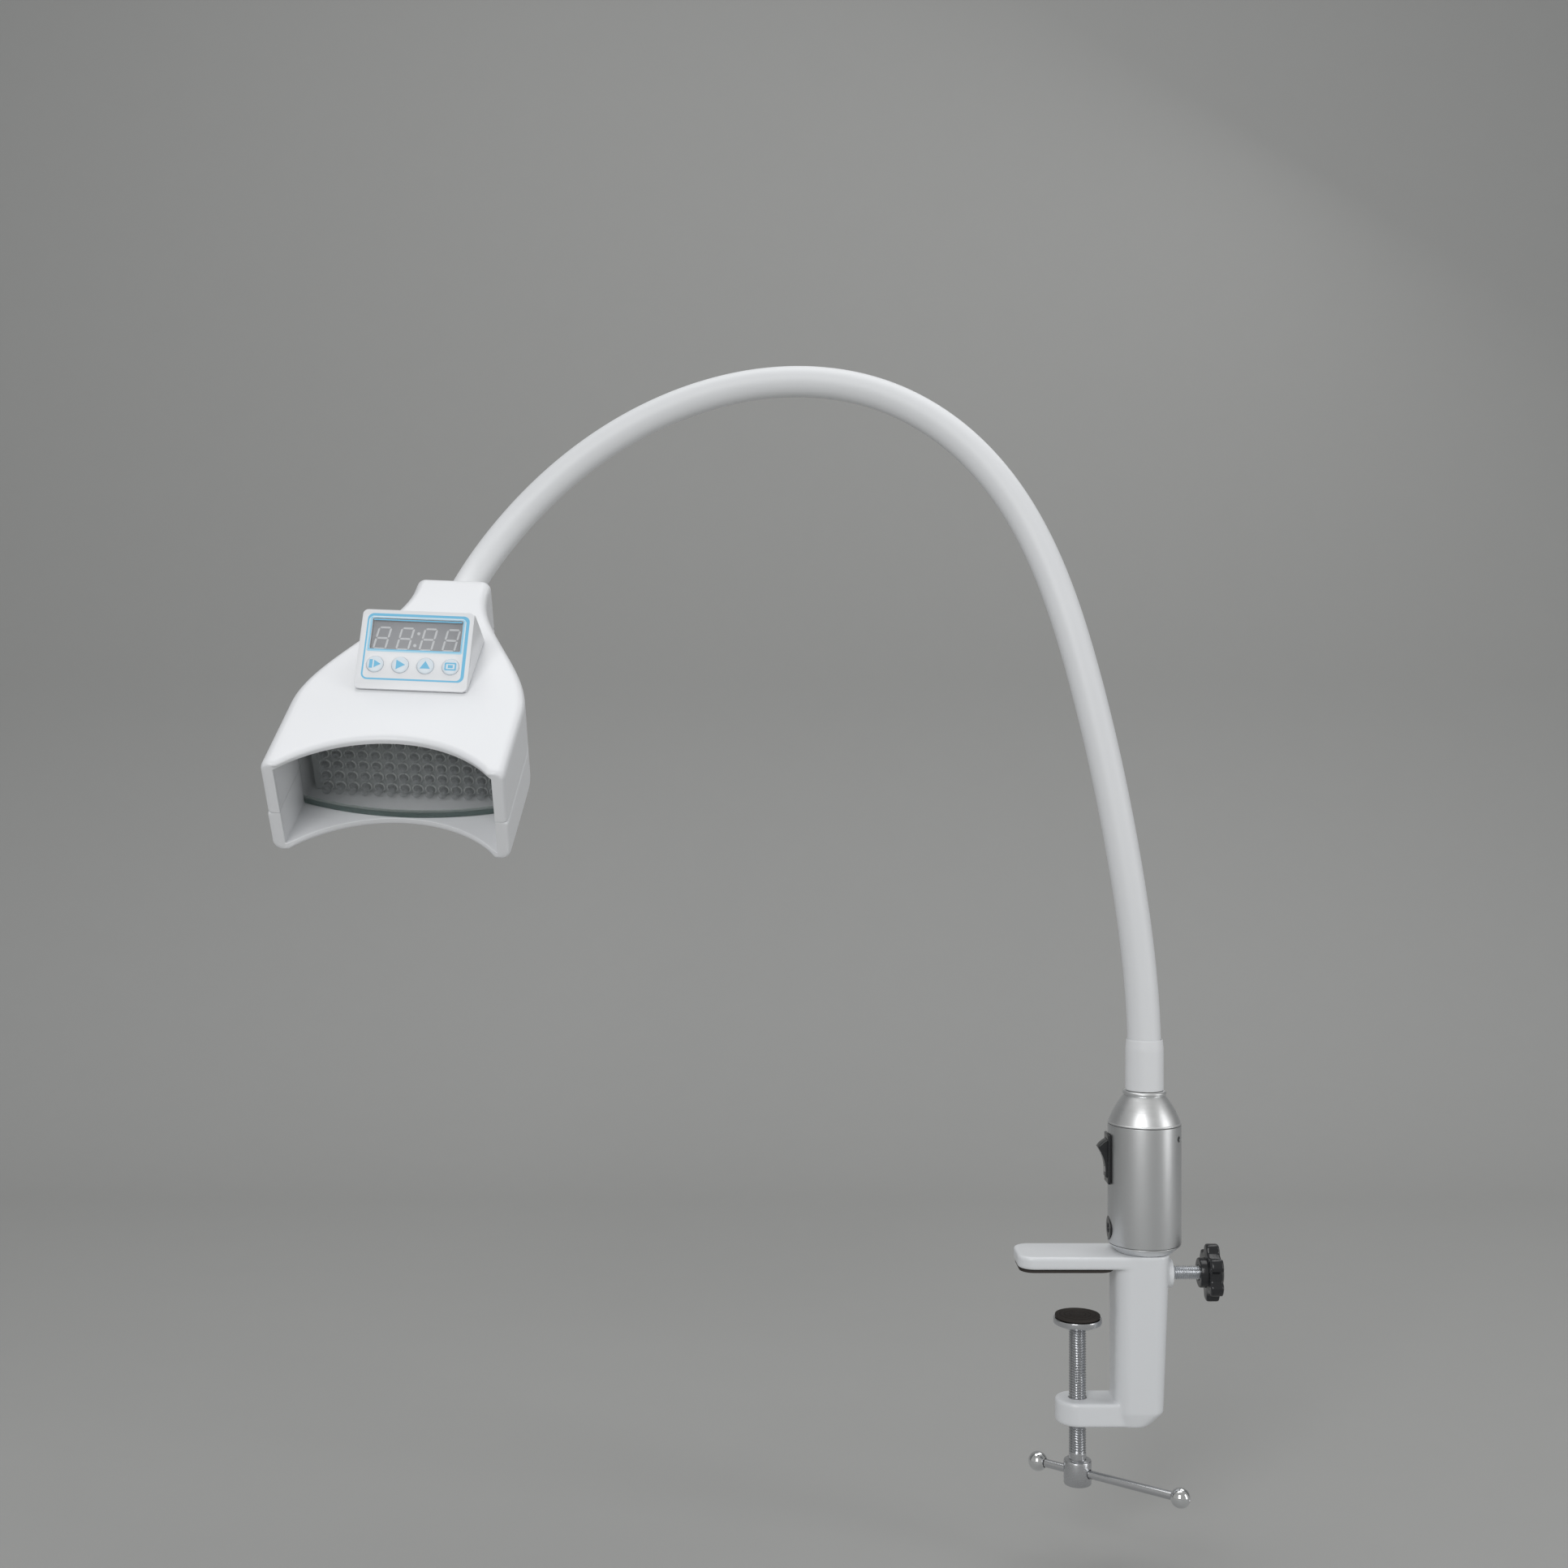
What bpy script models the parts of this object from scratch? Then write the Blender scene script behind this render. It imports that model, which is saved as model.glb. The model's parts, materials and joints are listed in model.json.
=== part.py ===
"""Teeth whitening lamp on a gooseneck with a desk clamp, modelled piece by piece.

Metres, +Z up, seen from the front along +Y. The origin is the middle of the jaw pad's
underside, where the clamp's tongue rests on the table.
"""
import math

import bmesh
import bpy
from mathutils import Matrix, Quaternion, Vector

LAMP = "teeth_whitening_lamp"

# Fits and fineness
FIT = 0.0003                # air between pieces that touch on the real lamp
OVERRUN = 0.006             # how far a cutter runs past the face that it cuts
WELD = 0.000002
ROUND_STEPS = 28
FINE_STEPS = 32

# Clamp
JAW_LENGTH = 0.056          # tongue tip to spine
CLAMP_WIDTH = 0.034
PAD_THICKNESS = 0.0014
PAD_MARGIN = 0.001
TONGUE_THICKNESS = 0.0074
TONGUE_CORNER = 0.009
THROAT = 0.0777             # tongue underside to lower arm
ARM_THICKNESS = 0.0135
ARM_WIDTH = 0.026
SPINE_TOP = 0.0313          # spine, left to right, at the top
SPINE_FOOT = 0.0282
SPINE_FOOT_WIDTH = 0.030
SPINE_CORNER = 0.0085
SPINE_CHAMFER = 0.008
BOSS_DIAMETER = 0.017
BOSS_REACH = 0.0161         # boss face, from the post's axis

# Clamp screw, its pad and its tommy bar
SCREW_DIAMETER = 0.010
SCREW_PITCH = 0.0015
SCREW_TO_SPINE = 0.020
TABLE_THICKNESS = 0.028     # the opening that the clamp is shown at
PRESS_DIAMETER = 0.028
PRESS_THICKNESS = 0.0062
PRESS_RUBBER = 0.0015
PRESS_SOCKET = 0.004
HANDLE_DEPTH = 0.119        # tommy bar's axis, below the table top
SCREW_HEAD_DIAMETER = 0.016
SCREW_HEAD_LENGTH = 0.014
BAR_DIAMETER = 0.0048
BAR_LENGTH = 0.090          # ball centre to ball centre
BAR_REACH = 0.064           # screw axis to the far ball's centre
BAR_TURN_DEG = -37.2
BALL_DIAMETER = 0.0113
BALL_SOCKET = 0.007

# Lock screw
LOCK_DROP = 0.0039          # lock screw's axis, below the table top
LOCK_DIAMETER = 0.008
LOCK_TIP_LENGTH = 0.003
LOCK_FREE_LENGTH = 0.0152   # bare thread between boss and knob
KNOB_HUB_DIAMETER = 0.017
KNOB_HUB_LENGTH = 0.004
KNOB_DIAMETER = 0.033
KNOB_LENGTH = 0.0075
KNOB_DOME = 0.0027
KNOB_DOME_DIAMETER = 0.020
KNOB_SOCKET = 0.0078
KNOB_LOBES = 6
KNOB_WAVE = 0.0019

# Post
POST_OFFSET = 0.0187        # spine's inner face to the post's axis
TUBE_DIAMETER = 0.042
TUBE_WALL = 0.0025
TUBE_LENGTH = 0.0683
BASE_CHAMFER = 0.0045
PLUG_HEIGHT = 0.0026
SPIGOT_DIAMETER = 0.014
SPIGOT_DEPTH = 0.039        # spigot in the clamp's socket
SPIGOT_STUD_DIAMETER = 0.008
NUT_THICKNESS = 0.0035
NUT_WIDTH = 0.013
NUT_POCKET_DEPTH = 0.002
NUT_POCKET_DIAMETER = 0.018
CONE_HEIGHT = 0.019
CONE_LAND = 0.001
CONE_TOP_DIAMETER = 0.0235
CONE_BEAD_DIAMETER = 0.025
CONE_BEAD = 0.0024
CONE_BELLY_SHARES = ((0.25, 0.16), (0.5, 0.40), (0.75, 0.68))
CONE_ROOF = 0.0033
SKIRT_LENGTH = 0.0135
SKIRT_WALL = 0.0027
SET_SCREW_DIAMETER = 0.003
SET_SCREW_LENGTH = 0.0046
SET_SCREW_DROP = 0.007      # below the tube's top
SET_SCREW_TURN_DEG = 56.0   # from the front towards the right
SET_SCREW_SINK = 0.0005

# Rocker switch in the tube's left side
SWITCH_DROP = 0.0199        # tube's top to the switch's middle
SWITCH_HEIGHT = 0.0285
SWITCH_WIDTH = 0.013
SWITCH_PROUD = 0.0011       # flange face outside the tube's side
SWITCH_FLANGE = 0.0015
SWITCH_RIM = 0.001
SWITCH_DEPTH = 0.0155
SWITCH_WALL = 0.0009
ROCKER_RADIUS = 0.012
ROCKER_PIVOT_DEPTH = 0.0049
ROCKER_TIP_DEG = 46.5       # tip from the rocker's middle line, about its pivot
ROCKER_VALLEY = 0.0066
ROCKER_BACK = 0.0045
ROCKER_TILT_DEG = 14.0

# Low-voltage jack under the switch
JACK_RISE = 0.0080          # tube's foot to the jack's axis
JACK_FLANGE_DIAMETER = 0.0132
JACK_FLANGE = 0.0011
JACK_DIAMETER = 0.008
JACK_LENGTH = 0.0118
JACK_BORE = 0.0055
JACK_BORE_DEPTH = 0.0095
JACK_PIN_DIAMETER = 0.0021
JACK_NUT_DIAMETER = 0.011
JACK_NUT_THICKNESS = 0.0025
JACK_NUT_GAP = 0.0013

# Gooseneck: an interlocked steel hose in a silicone sleeve
NECK_LENGTH = 0.7998
NECK_FOOT = 0.0124          # straight end below the bent length
NECK_SEGMENTS = 6
# Bend at evenly spaced stations, in degrees for the whole length: towards the head's side
# and towards the operator
NECK_BEND_DEG = ((97.1, -12.6), (30.0, -27.6), (32.9, -51.7), (185.3, -66.6),
                 (302.4, -33.7), (233.9, -15.7), (176.4, -24.8), (530.9, 539.9))
NECK_STEPS = 240
SLEEVE_DIAMETER = 0.0195
SLEEVE_BORE = 0.0164
HOSE_DIAMETER = 0.0158
HOSE_BORE = 0.0094
SLEEVE_SIDES = 16
HOSE_SIDES = 12
RING_BEND_DEG = 9.0         # most bend between two rings of a segment
RINGS_AT_LEAST = 4
BALL_RINGS = 3
WIRE_HOLE = 0.009
JOINT_FIT = 0.00035         # between a segment's ball end and the next one's cup
SOLID_AFTER_BALL = 0.003
SOLID_BEFORE_CUP = 0.0125
COLLAR_DIAMETER = 0.022
COLLAR_LENGTH = 0.0293
COLLAR_TAPER = 0.0056

# Ferrules, one at each end of the hose
NIPPLE_DIAMETER = 0.0080
NIPPLE_LENGTH = 0.006
FERRULE_FLANGE_DIAMETER = 0.0192
FERRULE_FLANGE = 0.0032
FERRULE_THREAD_DIAMETER = 0.0124
FERRULE_THREAD_LENGTH = 0.012
FERRULE_BORE = 0.006
FERRULE_NUT_DIAMETER = 0.018
FERRULE_NUT_THICKNESS = 0.005
LEAD_DIAMETER = 0.0032

# Head, in its own frame: X to the right, Y back to the gooseneck, Z out of the top
HEAD_ROLL_DEG = -3.24
HEAD_LENGTH = 0.200
HEAD_WIDTH = 0.128
NECK_WIDTH = 0.045
NECK_DEPTH = 0.040
BELLY_DEPTH = 0.059
MOUTH_DEPTH = 0.0565
SHOULDER_START = 0.0105
SHOULDER_LENGTH = 0.1275
BELLY_START = 0.035
BELLY_LENGTH = 0.085
HEAD_CORNER = 0.0055
HEAD_END_ROUND = 0.002
ENTRY_DEPTH = 0.020         # gooseneck's axis below the head's top
SKIN = 0.0026
MOUTH_SIDE_WALL = 0.0066
MOUTH_ARC_RADIUS = 0.0675
MOUTH_ARC_DEPTH = 0.0275    # middle of the lip behind its corners
PARTING_DEPTH = 0.032
SLEEVE_INSERT = 0.0042
BULKHEAD_DISTANCE = 0.0080
BULKHEAD_THICKNESS = 0.003
CORNER_STEPS = 3
HEAD_STATIONS = 18

# Lens, LED board, heat sink and boards
LENS_THICKNESS = 0.003
LENS_RADIUS = 0.172
LENS_SETBACK = 0.0295       # lens crown behind the mouth's corners
LENS_STEPS = 18
LED_SETBACK = 0.024         # LED board behind the lens crown
BOARD_THICKNESS = 0.0016
LED_PITCH = 0.0072
LED_EDGE = 0.001            # least board beyond the outer LEDs
LED_WIDTH = 0.0050
LED_BODY = 0.0072
LED_TIP_SHARE = 0.72
BOARD_MARGIN = 0.0004
BOARD_SIDE_MARGIN = 0.0032
SINK_PLATE = 0.003
SINK_FIN = 0.009
SINK_FIN_WIDTH = 0.0026
SINK_FINS = 9
SINK_MARGIN = 0.006
DRIVER_WIDTH = 0.050
DRIVER_START = 0.072
DRIVER_SINK_GAP = 0.0126    # driver board's front edge behind the heat sink's fins
DRIVER_HEIGHT = 0.003       # board above the lower shell's inside at its back edge
COIL_SIZE = 0.012
COIL_HEIGHT = 0.008
CAP_DIAMETER = 0.010
CAP_HEIGHT = 0.014
STANDOFF_DIAMETER = 0.006

# Shell screws
BOSS_OUTER = 0.0088
SHELL_SCREW_DIAMETER = 0.0029
SHELL_SCREW_LENGTH = 0.0143
SHELL_HEAD_DIAMETER = 0.0056
SHELL_HEAD_HEIGHT = 0.002
SHELL_WEB = 0.006           # lower boss between screw head and parting line
SHELL_PILOT = 0.012
NECK_SCREW_SIDE = 0.0145
NECK_SCREW_DISTANCE = 0.041
SHOULDER_SCREW_SIDE = 0.0465
SHOULDER_SCREW_DISTANCE = 0.122

# Control pod and panel; the panel's frame is X right, Y up the panel, Z out of it
PANEL_SIDE = 0.00495        # panel beyond the outer buttons' flanges
PANEL_HEIGHT = 0.0474
PANEL_THICKNESS = 0.0015
PANEL_CORNER = 0.003
PANEL_TILT_DEG = 36.0
PANEL_DISTANCE = 0.10835    # panel's middle from the neck's back face
PANEL_RISE = 0.0156         # and above the head's top
POD_WALL = 0.0022
POD_BACK_RUN = 0.0185
POD_WINDOW_SIDE = 0.00075   # pod's opening beyond the same flanges
POD_WINDOW_TOP = 0.0205
POD_WINDOW_FOOT = 0.0155
CUTOUT_MARGIN = 0.006
WINDOW_WIDTH = 0.0504
WINDOW_HEIGHT = 0.0185
WINDOW_UP = 0.0094
WINDOW_THICKNESS = 0.0011
WINDOW_SINK = 0.0003
DISPLAY_WIDTH = 0.0512
DISPLAY_HEIGHT = 0.0194
DISPLAY_DEPTH = 0.0049
CONTROL_BOARD_GAP = 0.00075 # board to the opening's side
CONTROL_BOARD_TOP = 0.0195
CONTROL_BOARD_FOOT = 0.0140
BUTTON_COUNT = 4
BUTTON_PITCH = 0.014
BUTTON_DOWN = 0.0092
BUTTON_DIAMETER = 0.0093
BUTTON_PROUD = 0.0008
BUTTON_FLANGE = 0.0105
BUTTON_FLANGE_THICKNESS = 0.001
BUTTON_STEM = 0.003
BUTTON_STEM_LENGTH = 0.0026
TACT_SIZE = 0.006
TACT_HEIGHT = 0.0005

# Colours from the photograph: colour, roughness, metallic
FINISHES = {
    "white_abs": ((0.80, 0.82, 0.84), 0.38, 0.0),
    "white_silicone": ((0.78, 0.80, 0.82), 0.55, 0.0),
    "white_paint": ((0.74, 0.76, 0.79), 0.35, 0.0),
    "satin_aluminium": ((0.62, 0.64, 0.66), 0.34, 1.0),
    "steel": ((0.55, 0.56, 0.58), 0.28, 1.0),
    "chrome": ((0.78, 0.78, 0.80), 0.08, 1.0),
    "zinc": ((0.66, 0.67, 0.68), 0.30, 1.0),
    "brass": ((0.72, 0.56, 0.27), 0.30, 1.0),
    "black_plastic": ((0.02, 0.02, 0.022), 0.38, 0.0),
    "black_rubber": ((0.035, 0.028, 0.025), 0.85, 0.0),
    "nylon": ((0.80, 0.79, 0.74), 0.5, 0.0),
    "clear_lens": ((0.42, 0.52, 0.50), 0.10, 0.0),
    "board_white": ((0.70, 0.72, 0.70), 0.5, 0.0),
    "board_green": ((0.04, 0.22, 0.10), 0.5, 0.0),
    "display_grey": ((0.28, 0.29, 0.31), 0.35, 0.0),
    "window_smoke": ((0.32, 0.33, 0.35), 0.12, 0.0),
    "button_blue": ((0.62, 0.76, 0.84), 0.4, 0.0),
    "lead_black": ((0.03, 0.03, 0.03), 0.6, 0.0),
}

# Places worked out from the sizes
TONGUE_UNDERSIDE = PAD_THICKNESS + FIT
TABLE_TOP = 0.0
CLAMP_TOP = TONGUE_UNDERSIDE + TONGUE_THICKNESS
SPINE_X = JAW_LENGTH / 2
ARM_TOP = TONGUE_UNDERSIDE - THROAT
ARM_FOOT = ARM_TOP - ARM_THICKNESS
SCREW_X = SPINE_X - SCREW_TO_SPINE
POST_X = SPINE_X + POST_OFFSET
BASE_FOOT = CLAMP_TOP + FIT
TUBE_FOOT = BASE_FOOT + BASE_CHAMFER + FIT
TUBE_TOP = TUBE_FOOT + TUBE_LENGTH
CONE_FOOT = TUBE_TOP + FIT
CONE_TOP = CONE_FOOT + CONE_HEIGHT
FERRULE_SEAT = CONE_TOP + FIT
NECK_SEAT = FERRULE_SEAT + FERRULE_FLANGE + FIT
NECK_START = Vector((POST_X, 0, NECK_SEAT + NECK_FOOT))
BORE_RADIUS = SPIGOT_DIAMETER / 2 + FIT
LENS_FRONT = HEAD_LENGTH - LENS_SETBACK
LED_BOARD_DISTANCE = LENS_FRONT - LED_SETBACK
SINK_TIP_DISTANCE = LED_BOARD_DISTANCE - BOARD_THICKNESS - FIT - SINK_PLATE - SINK_FIN
DRIVER_LENGTH = SINK_TIP_DISTANCE - DRIVER_SINK_GAP - DRIVER_START
BUTTON_ROW = BUTTON_PITCH * (BUTTON_COUNT - 1) + BUTTON_FLANGE
PANEL_WIDTH = BUTTON_ROW + 2 * PANEL_SIDE
POD_WINDOW_WIDTH = BUTTON_ROW + 2 * POD_WINDOW_SIDE
CONTROL_BOARD_WIDTH = POD_WINDOW_WIDTH - 2 * CONTROL_BOARD_GAP


# Building helpers

def clear_scene():
    """Remove every object of the file that this script starts in."""
    for old in list(bpy.data.objects):
        bpy.data.objects.remove(old, do_unlink=True)


def collect(piece):
    """Move a new object into the lamp's collection."""
    for group in list(piece.users_collection):
        group.objects.unlink(piece)
    bpy.data.collections[LAMP].objects.link(piece)
    return piece


def bake(piece):
    """Give back the piece as one welded mesh that faces out, at the world's origin."""
    bpy.context.view_layer.update()
    graph = bpy.context.evaluated_depsgraph_get()
    mesh = bpy.data.meshes.new_from_object(piece.evaluated_get(graph))
    mesh.transform(piece.matrix_world)
    name = piece.name
    bpy.data.objects.remove(piece, do_unlink=True)
    form = bmesh.new()
    form.from_mesh(mesh)
    bmesh.ops.remove_doubles(form, verts=form.verts, dist=WELD)
    bmesh.ops.recalc_face_normals(form, faces=form.faces)
    form.to_mesh(mesh)
    form.free()
    mesh.name = name
    solid = bpy.data.objects.new(name, mesh)
    bpy.data.collections[LAMP].objects.link(solid)
    return solid


def combine(piece, tool, operation):
    """Cut, join or intersect the piece with a tool, which is used up."""
    boolean = piece.modifiers.new(operation, "BOOLEAN")
    boolean.operation = operation
    boolean.solver = "EXACT"
    boolean.object = tool
    solid = bake(piece)
    bpy.data.objects.remove(tool, do_unlink=True)
    return solid


def cut(piece, *tools):
    for tool in tools:
        piece = combine(piece, tool, "DIFFERENCE")
    return piece


def join(piece, *tools):
    for tool in tools:
        piece = combine(piece, tool, "UNION")
    return piece


def bevel(piece, width, segments=2, angle_deg=40.0):
    """Round the edges that are sharper than the angle."""
    edge = piece.modifiers.new("edges", "BEVEL")
    edge.width = width
    edge.segments = segments
    edge.limit_method = "ANGLE"
    edge.angle_limit = math.radians(angle_deg)
    return bake(piece)


def box(name, low, high):
    """A box between two opposite corners."""
    low, high = Vector(low), Vector(high)
    bpy.ops.mesh.primitive_cube_add(size=1, location=(low + high) / 2)
    piece = collect(bpy.context.object)
    piece.name = name
    piece.scale = high - low
    return bake(piece)


def bar(name, radius, start, end, sides=ROUND_STEPS):
    """A round bar between two points."""
    start, end = Vector(start), Vector(end)
    run = end - start
    bpy.ops.mesh.primitive_cylinder_add(vertices=sides, radius=radius, depth=run.length,
                                        location=(start + end) / 2)
    piece = collect(bpy.context.object)
    piece.name = name
    piece.rotation_mode = "QUATERNION"
    piece.rotation_quaternion = run.to_track_quat("Z", "Y")
    return bake(piece)


def turned(name, profile, place=Matrix(), steps=ROUND_STEPS, ring=False):
    """A turned piece: a profile of (radius, height) round the place's Z axis."""
    mesh = bpy.data.meshes.new(name)
    points = [(radius, 0, height) for radius, height in profile]
    edges = [(at, at + 1) for at in range(len(points) - 1)]
    if ring:
        edges.append((len(points) - 1, 0))
    mesh.from_pydata(points, edges, [])
    piece = bpy.data.objects.new(name, mesh)
    bpy.data.collections[LAMP].objects.link(piece)
    screw = piece.modifiers.new("turn", "SCREW")
    screw.steps = steps
    screw.render_steps = steps
    screw.use_merge_vertices = True
    screw.merge_threshold = WELD
    piece.matrix_world = place
    return bake(piece)


def prism(name, outline, low, high, place=Matrix()):
    """A flat outline in the place's XY plane, given thickness from low to high along its Z."""
    flat = bpy.data.curves.new(name, "CURVE")
    flat.dimensions = "2D"
    flat.fill_mode = "BOTH"
    flat.extrude = (high - low) / 2
    line = flat.splines.new("POLY")
    line.points.add(len(outline) - 1)
    for point, (x, y) in zip(line.points, outline):
        point.co = (x, y, 0, 1)
    line.use_cyclic_u = True
    piece = bpy.data.objects.new(name, flat)
    bpy.data.collections[LAMP].objects.link(piece)
    piece.matrix_world = place @ Matrix.Translation((0, 0, (low + high) / 2))
    return bake(piece)


def loft(name, rings, ring=False):
    """Skin a row of rings that all have the same number of points."""
    form = bmesh.new()
    rows = [[form.verts.new(point) for point in points] for points in rings]
    pairs = list(zip(rows, rows[1:]))
    if ring:
        pairs.append((rows[-1], rows[0]))
    count = len(rows[0])
    for near, far in pairs:
        for at in range(count):
            after = (at + 1) % count
            form.faces.new((near[at], near[after], far[after], far[at]))
    if not ring:
        form.faces.new(rows[0])
        form.faces.new(rows[-1])
    bmesh.ops.recalc_face_normals(form, faces=form.faces)
    mesh = bpy.data.meshes.new(name)
    form.to_mesh(mesh)
    form.free()
    piece = bpy.data.objects.new(name, mesh)
    bpy.data.collections[LAMP].objects.link(piece)
    return piece


def rounded_outline(x_low, x_high, y_low, y_high, radius, steps=CORNER_STEPS):
    """The outline of a rectangle with round corners, anticlockwise."""
    corners = ((x_high - radius, y_high - radius, 0), (x_low + radius, y_high - radius, 1),
               (x_low + radius, y_low + radius, 2), (x_high - radius, y_low + radius, 3))
    outline = []
    for x, y, quarter in corners:
        for step in range(steps + 1):
            angle = math.pi / 2 * (quarter + step / steps)
            outline.append((x + radius * math.cos(angle), y + radius * math.sin(angle)))
    return outline


def tube_curve(name, route, diameter):
    """A wire along a smooth curve through the points of its route."""
    wire = bpy.data.curves.new(name, "CURVE")
    wire.dimensions = "3D"
    wire.bevel_depth = diameter / 2
    wire.bevel_resolution = 2
    wire.use_fill_caps = True
    line = wire.splines.new("POLY")
    points = smooth_route(route)
    line.points.add(len(points) - 1)
    for point, place in zip(line.points, points):
        point.co = (*place, 1)
    piece = bpy.data.objects.new(name, wire)
    bpy.data.collections[LAMP].objects.link(piece)
    return bake(piece)


def smooth_route(route, steps=5):
    """Points of a Catmull-Rom curve through a route."""
    knots = [Vector(point) for point in route]
    knots = [knots[0] * 2 - knots[1], *knots, knots[-1] * 2 - knots[-2]]
    points = []
    for a, b, c, d in zip(knots, knots[1:], knots[2:], knots[3:]):
        for step in range(steps):
            t = step / steps
            points.append((b * 2 + (c - a) * t + (a * 2 - b * 5 + c * 4 - d) * t ** 2
                           + (b * 3 - a - c * 3 + d) * t ** 3) / 2)
    return [*points, knots[-2]]


def smoothstep(share):
    share = min(max(share, 0.0), 1.0)
    return share * share * (3 - 2 * share)


def dress(piece, finish, parent, local=False):
    """Give a piece its finish and hang it on a parent, in the parent's frame if local."""
    piece.data.materials.clear()
    piece.data.materials.append(bpy.data.materials[finish])
    piece.parent = parent
    if not local:
        piece.matrix_parent_inverse = parent.matrix_world.inverted()
    return piece


def empty(name, place, parent=None):
    """A joint's frame, which its pieces hang on."""
    frame = bpy.data.objects.new(name, None)
    bpy.data.collections[LAMP].objects.link(frame)
    frame.matrix_world = place
    if parent:
        frame.parent = parent
        frame.matrix_parent_inverse = parent.matrix_world.inverted()
    bpy.context.view_layer.update()
    return frame


def make_finishes():
    for name, (colour, roughness, metallic) in FINISHES.items():
        finish = bpy.data.materials.new(name)
        finish.use_nodes = True
        surface = finish.node_tree.nodes["Principled BSDF"]
        surface.inputs["Base Color"].default_value = (*colour, 1)
        surface.inputs["Roughness"].default_value = roughness
        surface.inputs["Metallic"].default_value = metallic


# Gooseneck's path

def bend_rate(share):
    """Bend per unit of share at a place along the neck, in radians."""
    at = share * (len(NECK_BEND_DEG) - 1)
    low = min(int(at), len(NECK_BEND_DEG) - 2)
    mix = at - low
    return [math.radians(a + (b - a) * mix) for a, b in zip(NECK_BEND_DEG[low], NECK_BEND_DEG[low + 1])]


def neck_frames():
    """Frames along the neck: X towards the inside of the arc at first, Z along the neck."""
    along, inward = Vector((0, 0, 1)), Vector((-1, 0, 0))
    place = NECK_START.copy()
    frames = [(place.copy(), along, inward)]
    for step in range(NECK_STEPS):
        rates = bend_rate((step + 0.5) / NECK_STEPS)
        side = along.cross(inward)
        push = (inward * rates[0] + side * rates[1]) / NECK_STEPS
        half = Quaternion(along.cross(push).normalized(), push.length / 2)
        place = place + (half @ along) * NECK_LENGTH / NECK_STEPS
        along, inward = half @ (half @ along), half @ (half @ inward)
        frames.append((place.copy(), along, inward))
    return frames


def frame_at(frames, distance):
    """The neck's frame at a distance from its start; before it the neck is straight."""
    at = distance / NECK_LENGTH * NECK_STEPS
    if at <= 0:
        place, along, inward = frames[0]
        return place + along * distance, along, inward
    low = min(int(at), NECK_STEPS - 1)
    mix = at - low
    near, far = frames[low], frames[low + 1]
    return tuple(a.lerp(b, mix) if index == 0 else a.lerp(b, mix).normalized()
                 for index, (a, b) in enumerate(zip(near, far)))


def neck_ring(frames, distance, radius, sides, shift=0.0):
    """A ring of points square to the neck, moved along its own straight line by shift."""
    place, along, inward = frame_at(frames, distance)
    side = along.cross(inward)
    centre = place + along * shift
    angles = [2 * math.pi * at / sides for at in range(sides)]
    return [centre + (inward * math.cos(a) + side * math.sin(a)) * radius for a in angles]


def neck_joints():
    """Distances along the neck where its segments meet."""
    return [NECK_LENGTH * at / NECK_SEGMENTS for at in range(1, NECK_SEGMENTS)]


def ring_count(frames, start, end):
    """Rings along a length of the neck, more where it bends."""
    bend = 0.0
    stops = [start + (end - start) * at / 12 for at in range(13)]
    tangents = [frame_at(frames, stop)[1] for stop in stops]
    for near, far in zip(tangents, tangents[1:]):
        bend += near.angle(far)
    return RINGS_AT_LEAST + int(math.degrees(bend) / RING_BEND_DEG)


def neck_segment(name, frames, start, end, ball, cup, count):
    """One sleeve segment with a bore, a ball at its start and a cup at its end."""
    outer, bore, hole = SLEEVE_DIAMETER / 2, SLEEVE_BORE / 2, WIRE_HOLE / 2
    cup_radius = outer + JOINT_FIT
    first = start if ball else start
    last = end - math.sqrt(cup_radius ** 2 - outer ** 2) if cup else end
    places = [first + (last - first) * at / (count - 1) for at in range(count)]
    if not ball:
        places[1:1] = [0.0, FERRULE_SEAT + COLLAR_LENGTH - NECK_START.z]
    if not cup:
        places.insert(-1, end - SLEEVE_INSERT)

    def ring(distance, radius, shift=0.0):
        return neck_ring(frames, distance, radius, SLEEVE_SIDES, shift)

    rings = []
    if ball:
        lowest = math.degrees(math.asin(hole / outer))
        for step in range(BALL_RINGS):
            angle = math.radians(lowest + (90 - lowest) * step / BALL_RINGS)
            rings.append(ring(start, outer * math.sin(angle), -outer * math.cos(angle)))
    rings += [ring(place, outer) for place in places]
    if cup:
        rim = math.degrees(math.asin(outer / cup_radius))
        lowest = math.degrees(math.asin(hole / cup_radius))
        for step in range(1, BALL_RINGS + 1):
            angle = math.radians(rim + (lowest - rim) * step / BALL_RINGS)
            rings.append(ring(end, cup_radius * math.sin(angle), -cup_radius * math.cos(angle)))
        inner_end = end - SOLID_BEFORE_CUP
        rings.append(ring(inner_end, hole))
    else:
        inner_end = end
    inner_start = start + SOLID_AFTER_BALL if ball else start
    inner = [inner_end + (inner_start - inner_end) * at / (count - 1) for at in range(count)]
    rings += [ring(place, bore) for place in inner]
    if ball:
        rings.append(ring(inner_start, hole))
    return loft(name, rings, ring=True)


def hose_segment(name, frames, start, end, count):
    """One length of the steel hose."""
    places = [start + (end - start) * at / (count - 1) for at in range(count)]
    rings = [neck_ring(frames, place, HOSE_DIAMETER / 2, HOSE_SIDES) for place in places]
    rings += [neck_ring(frames, place, HOSE_BORE / 2, HOSE_SIDES) for place in reversed(places)]
    return loft(name, rings, ring=True)


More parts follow.
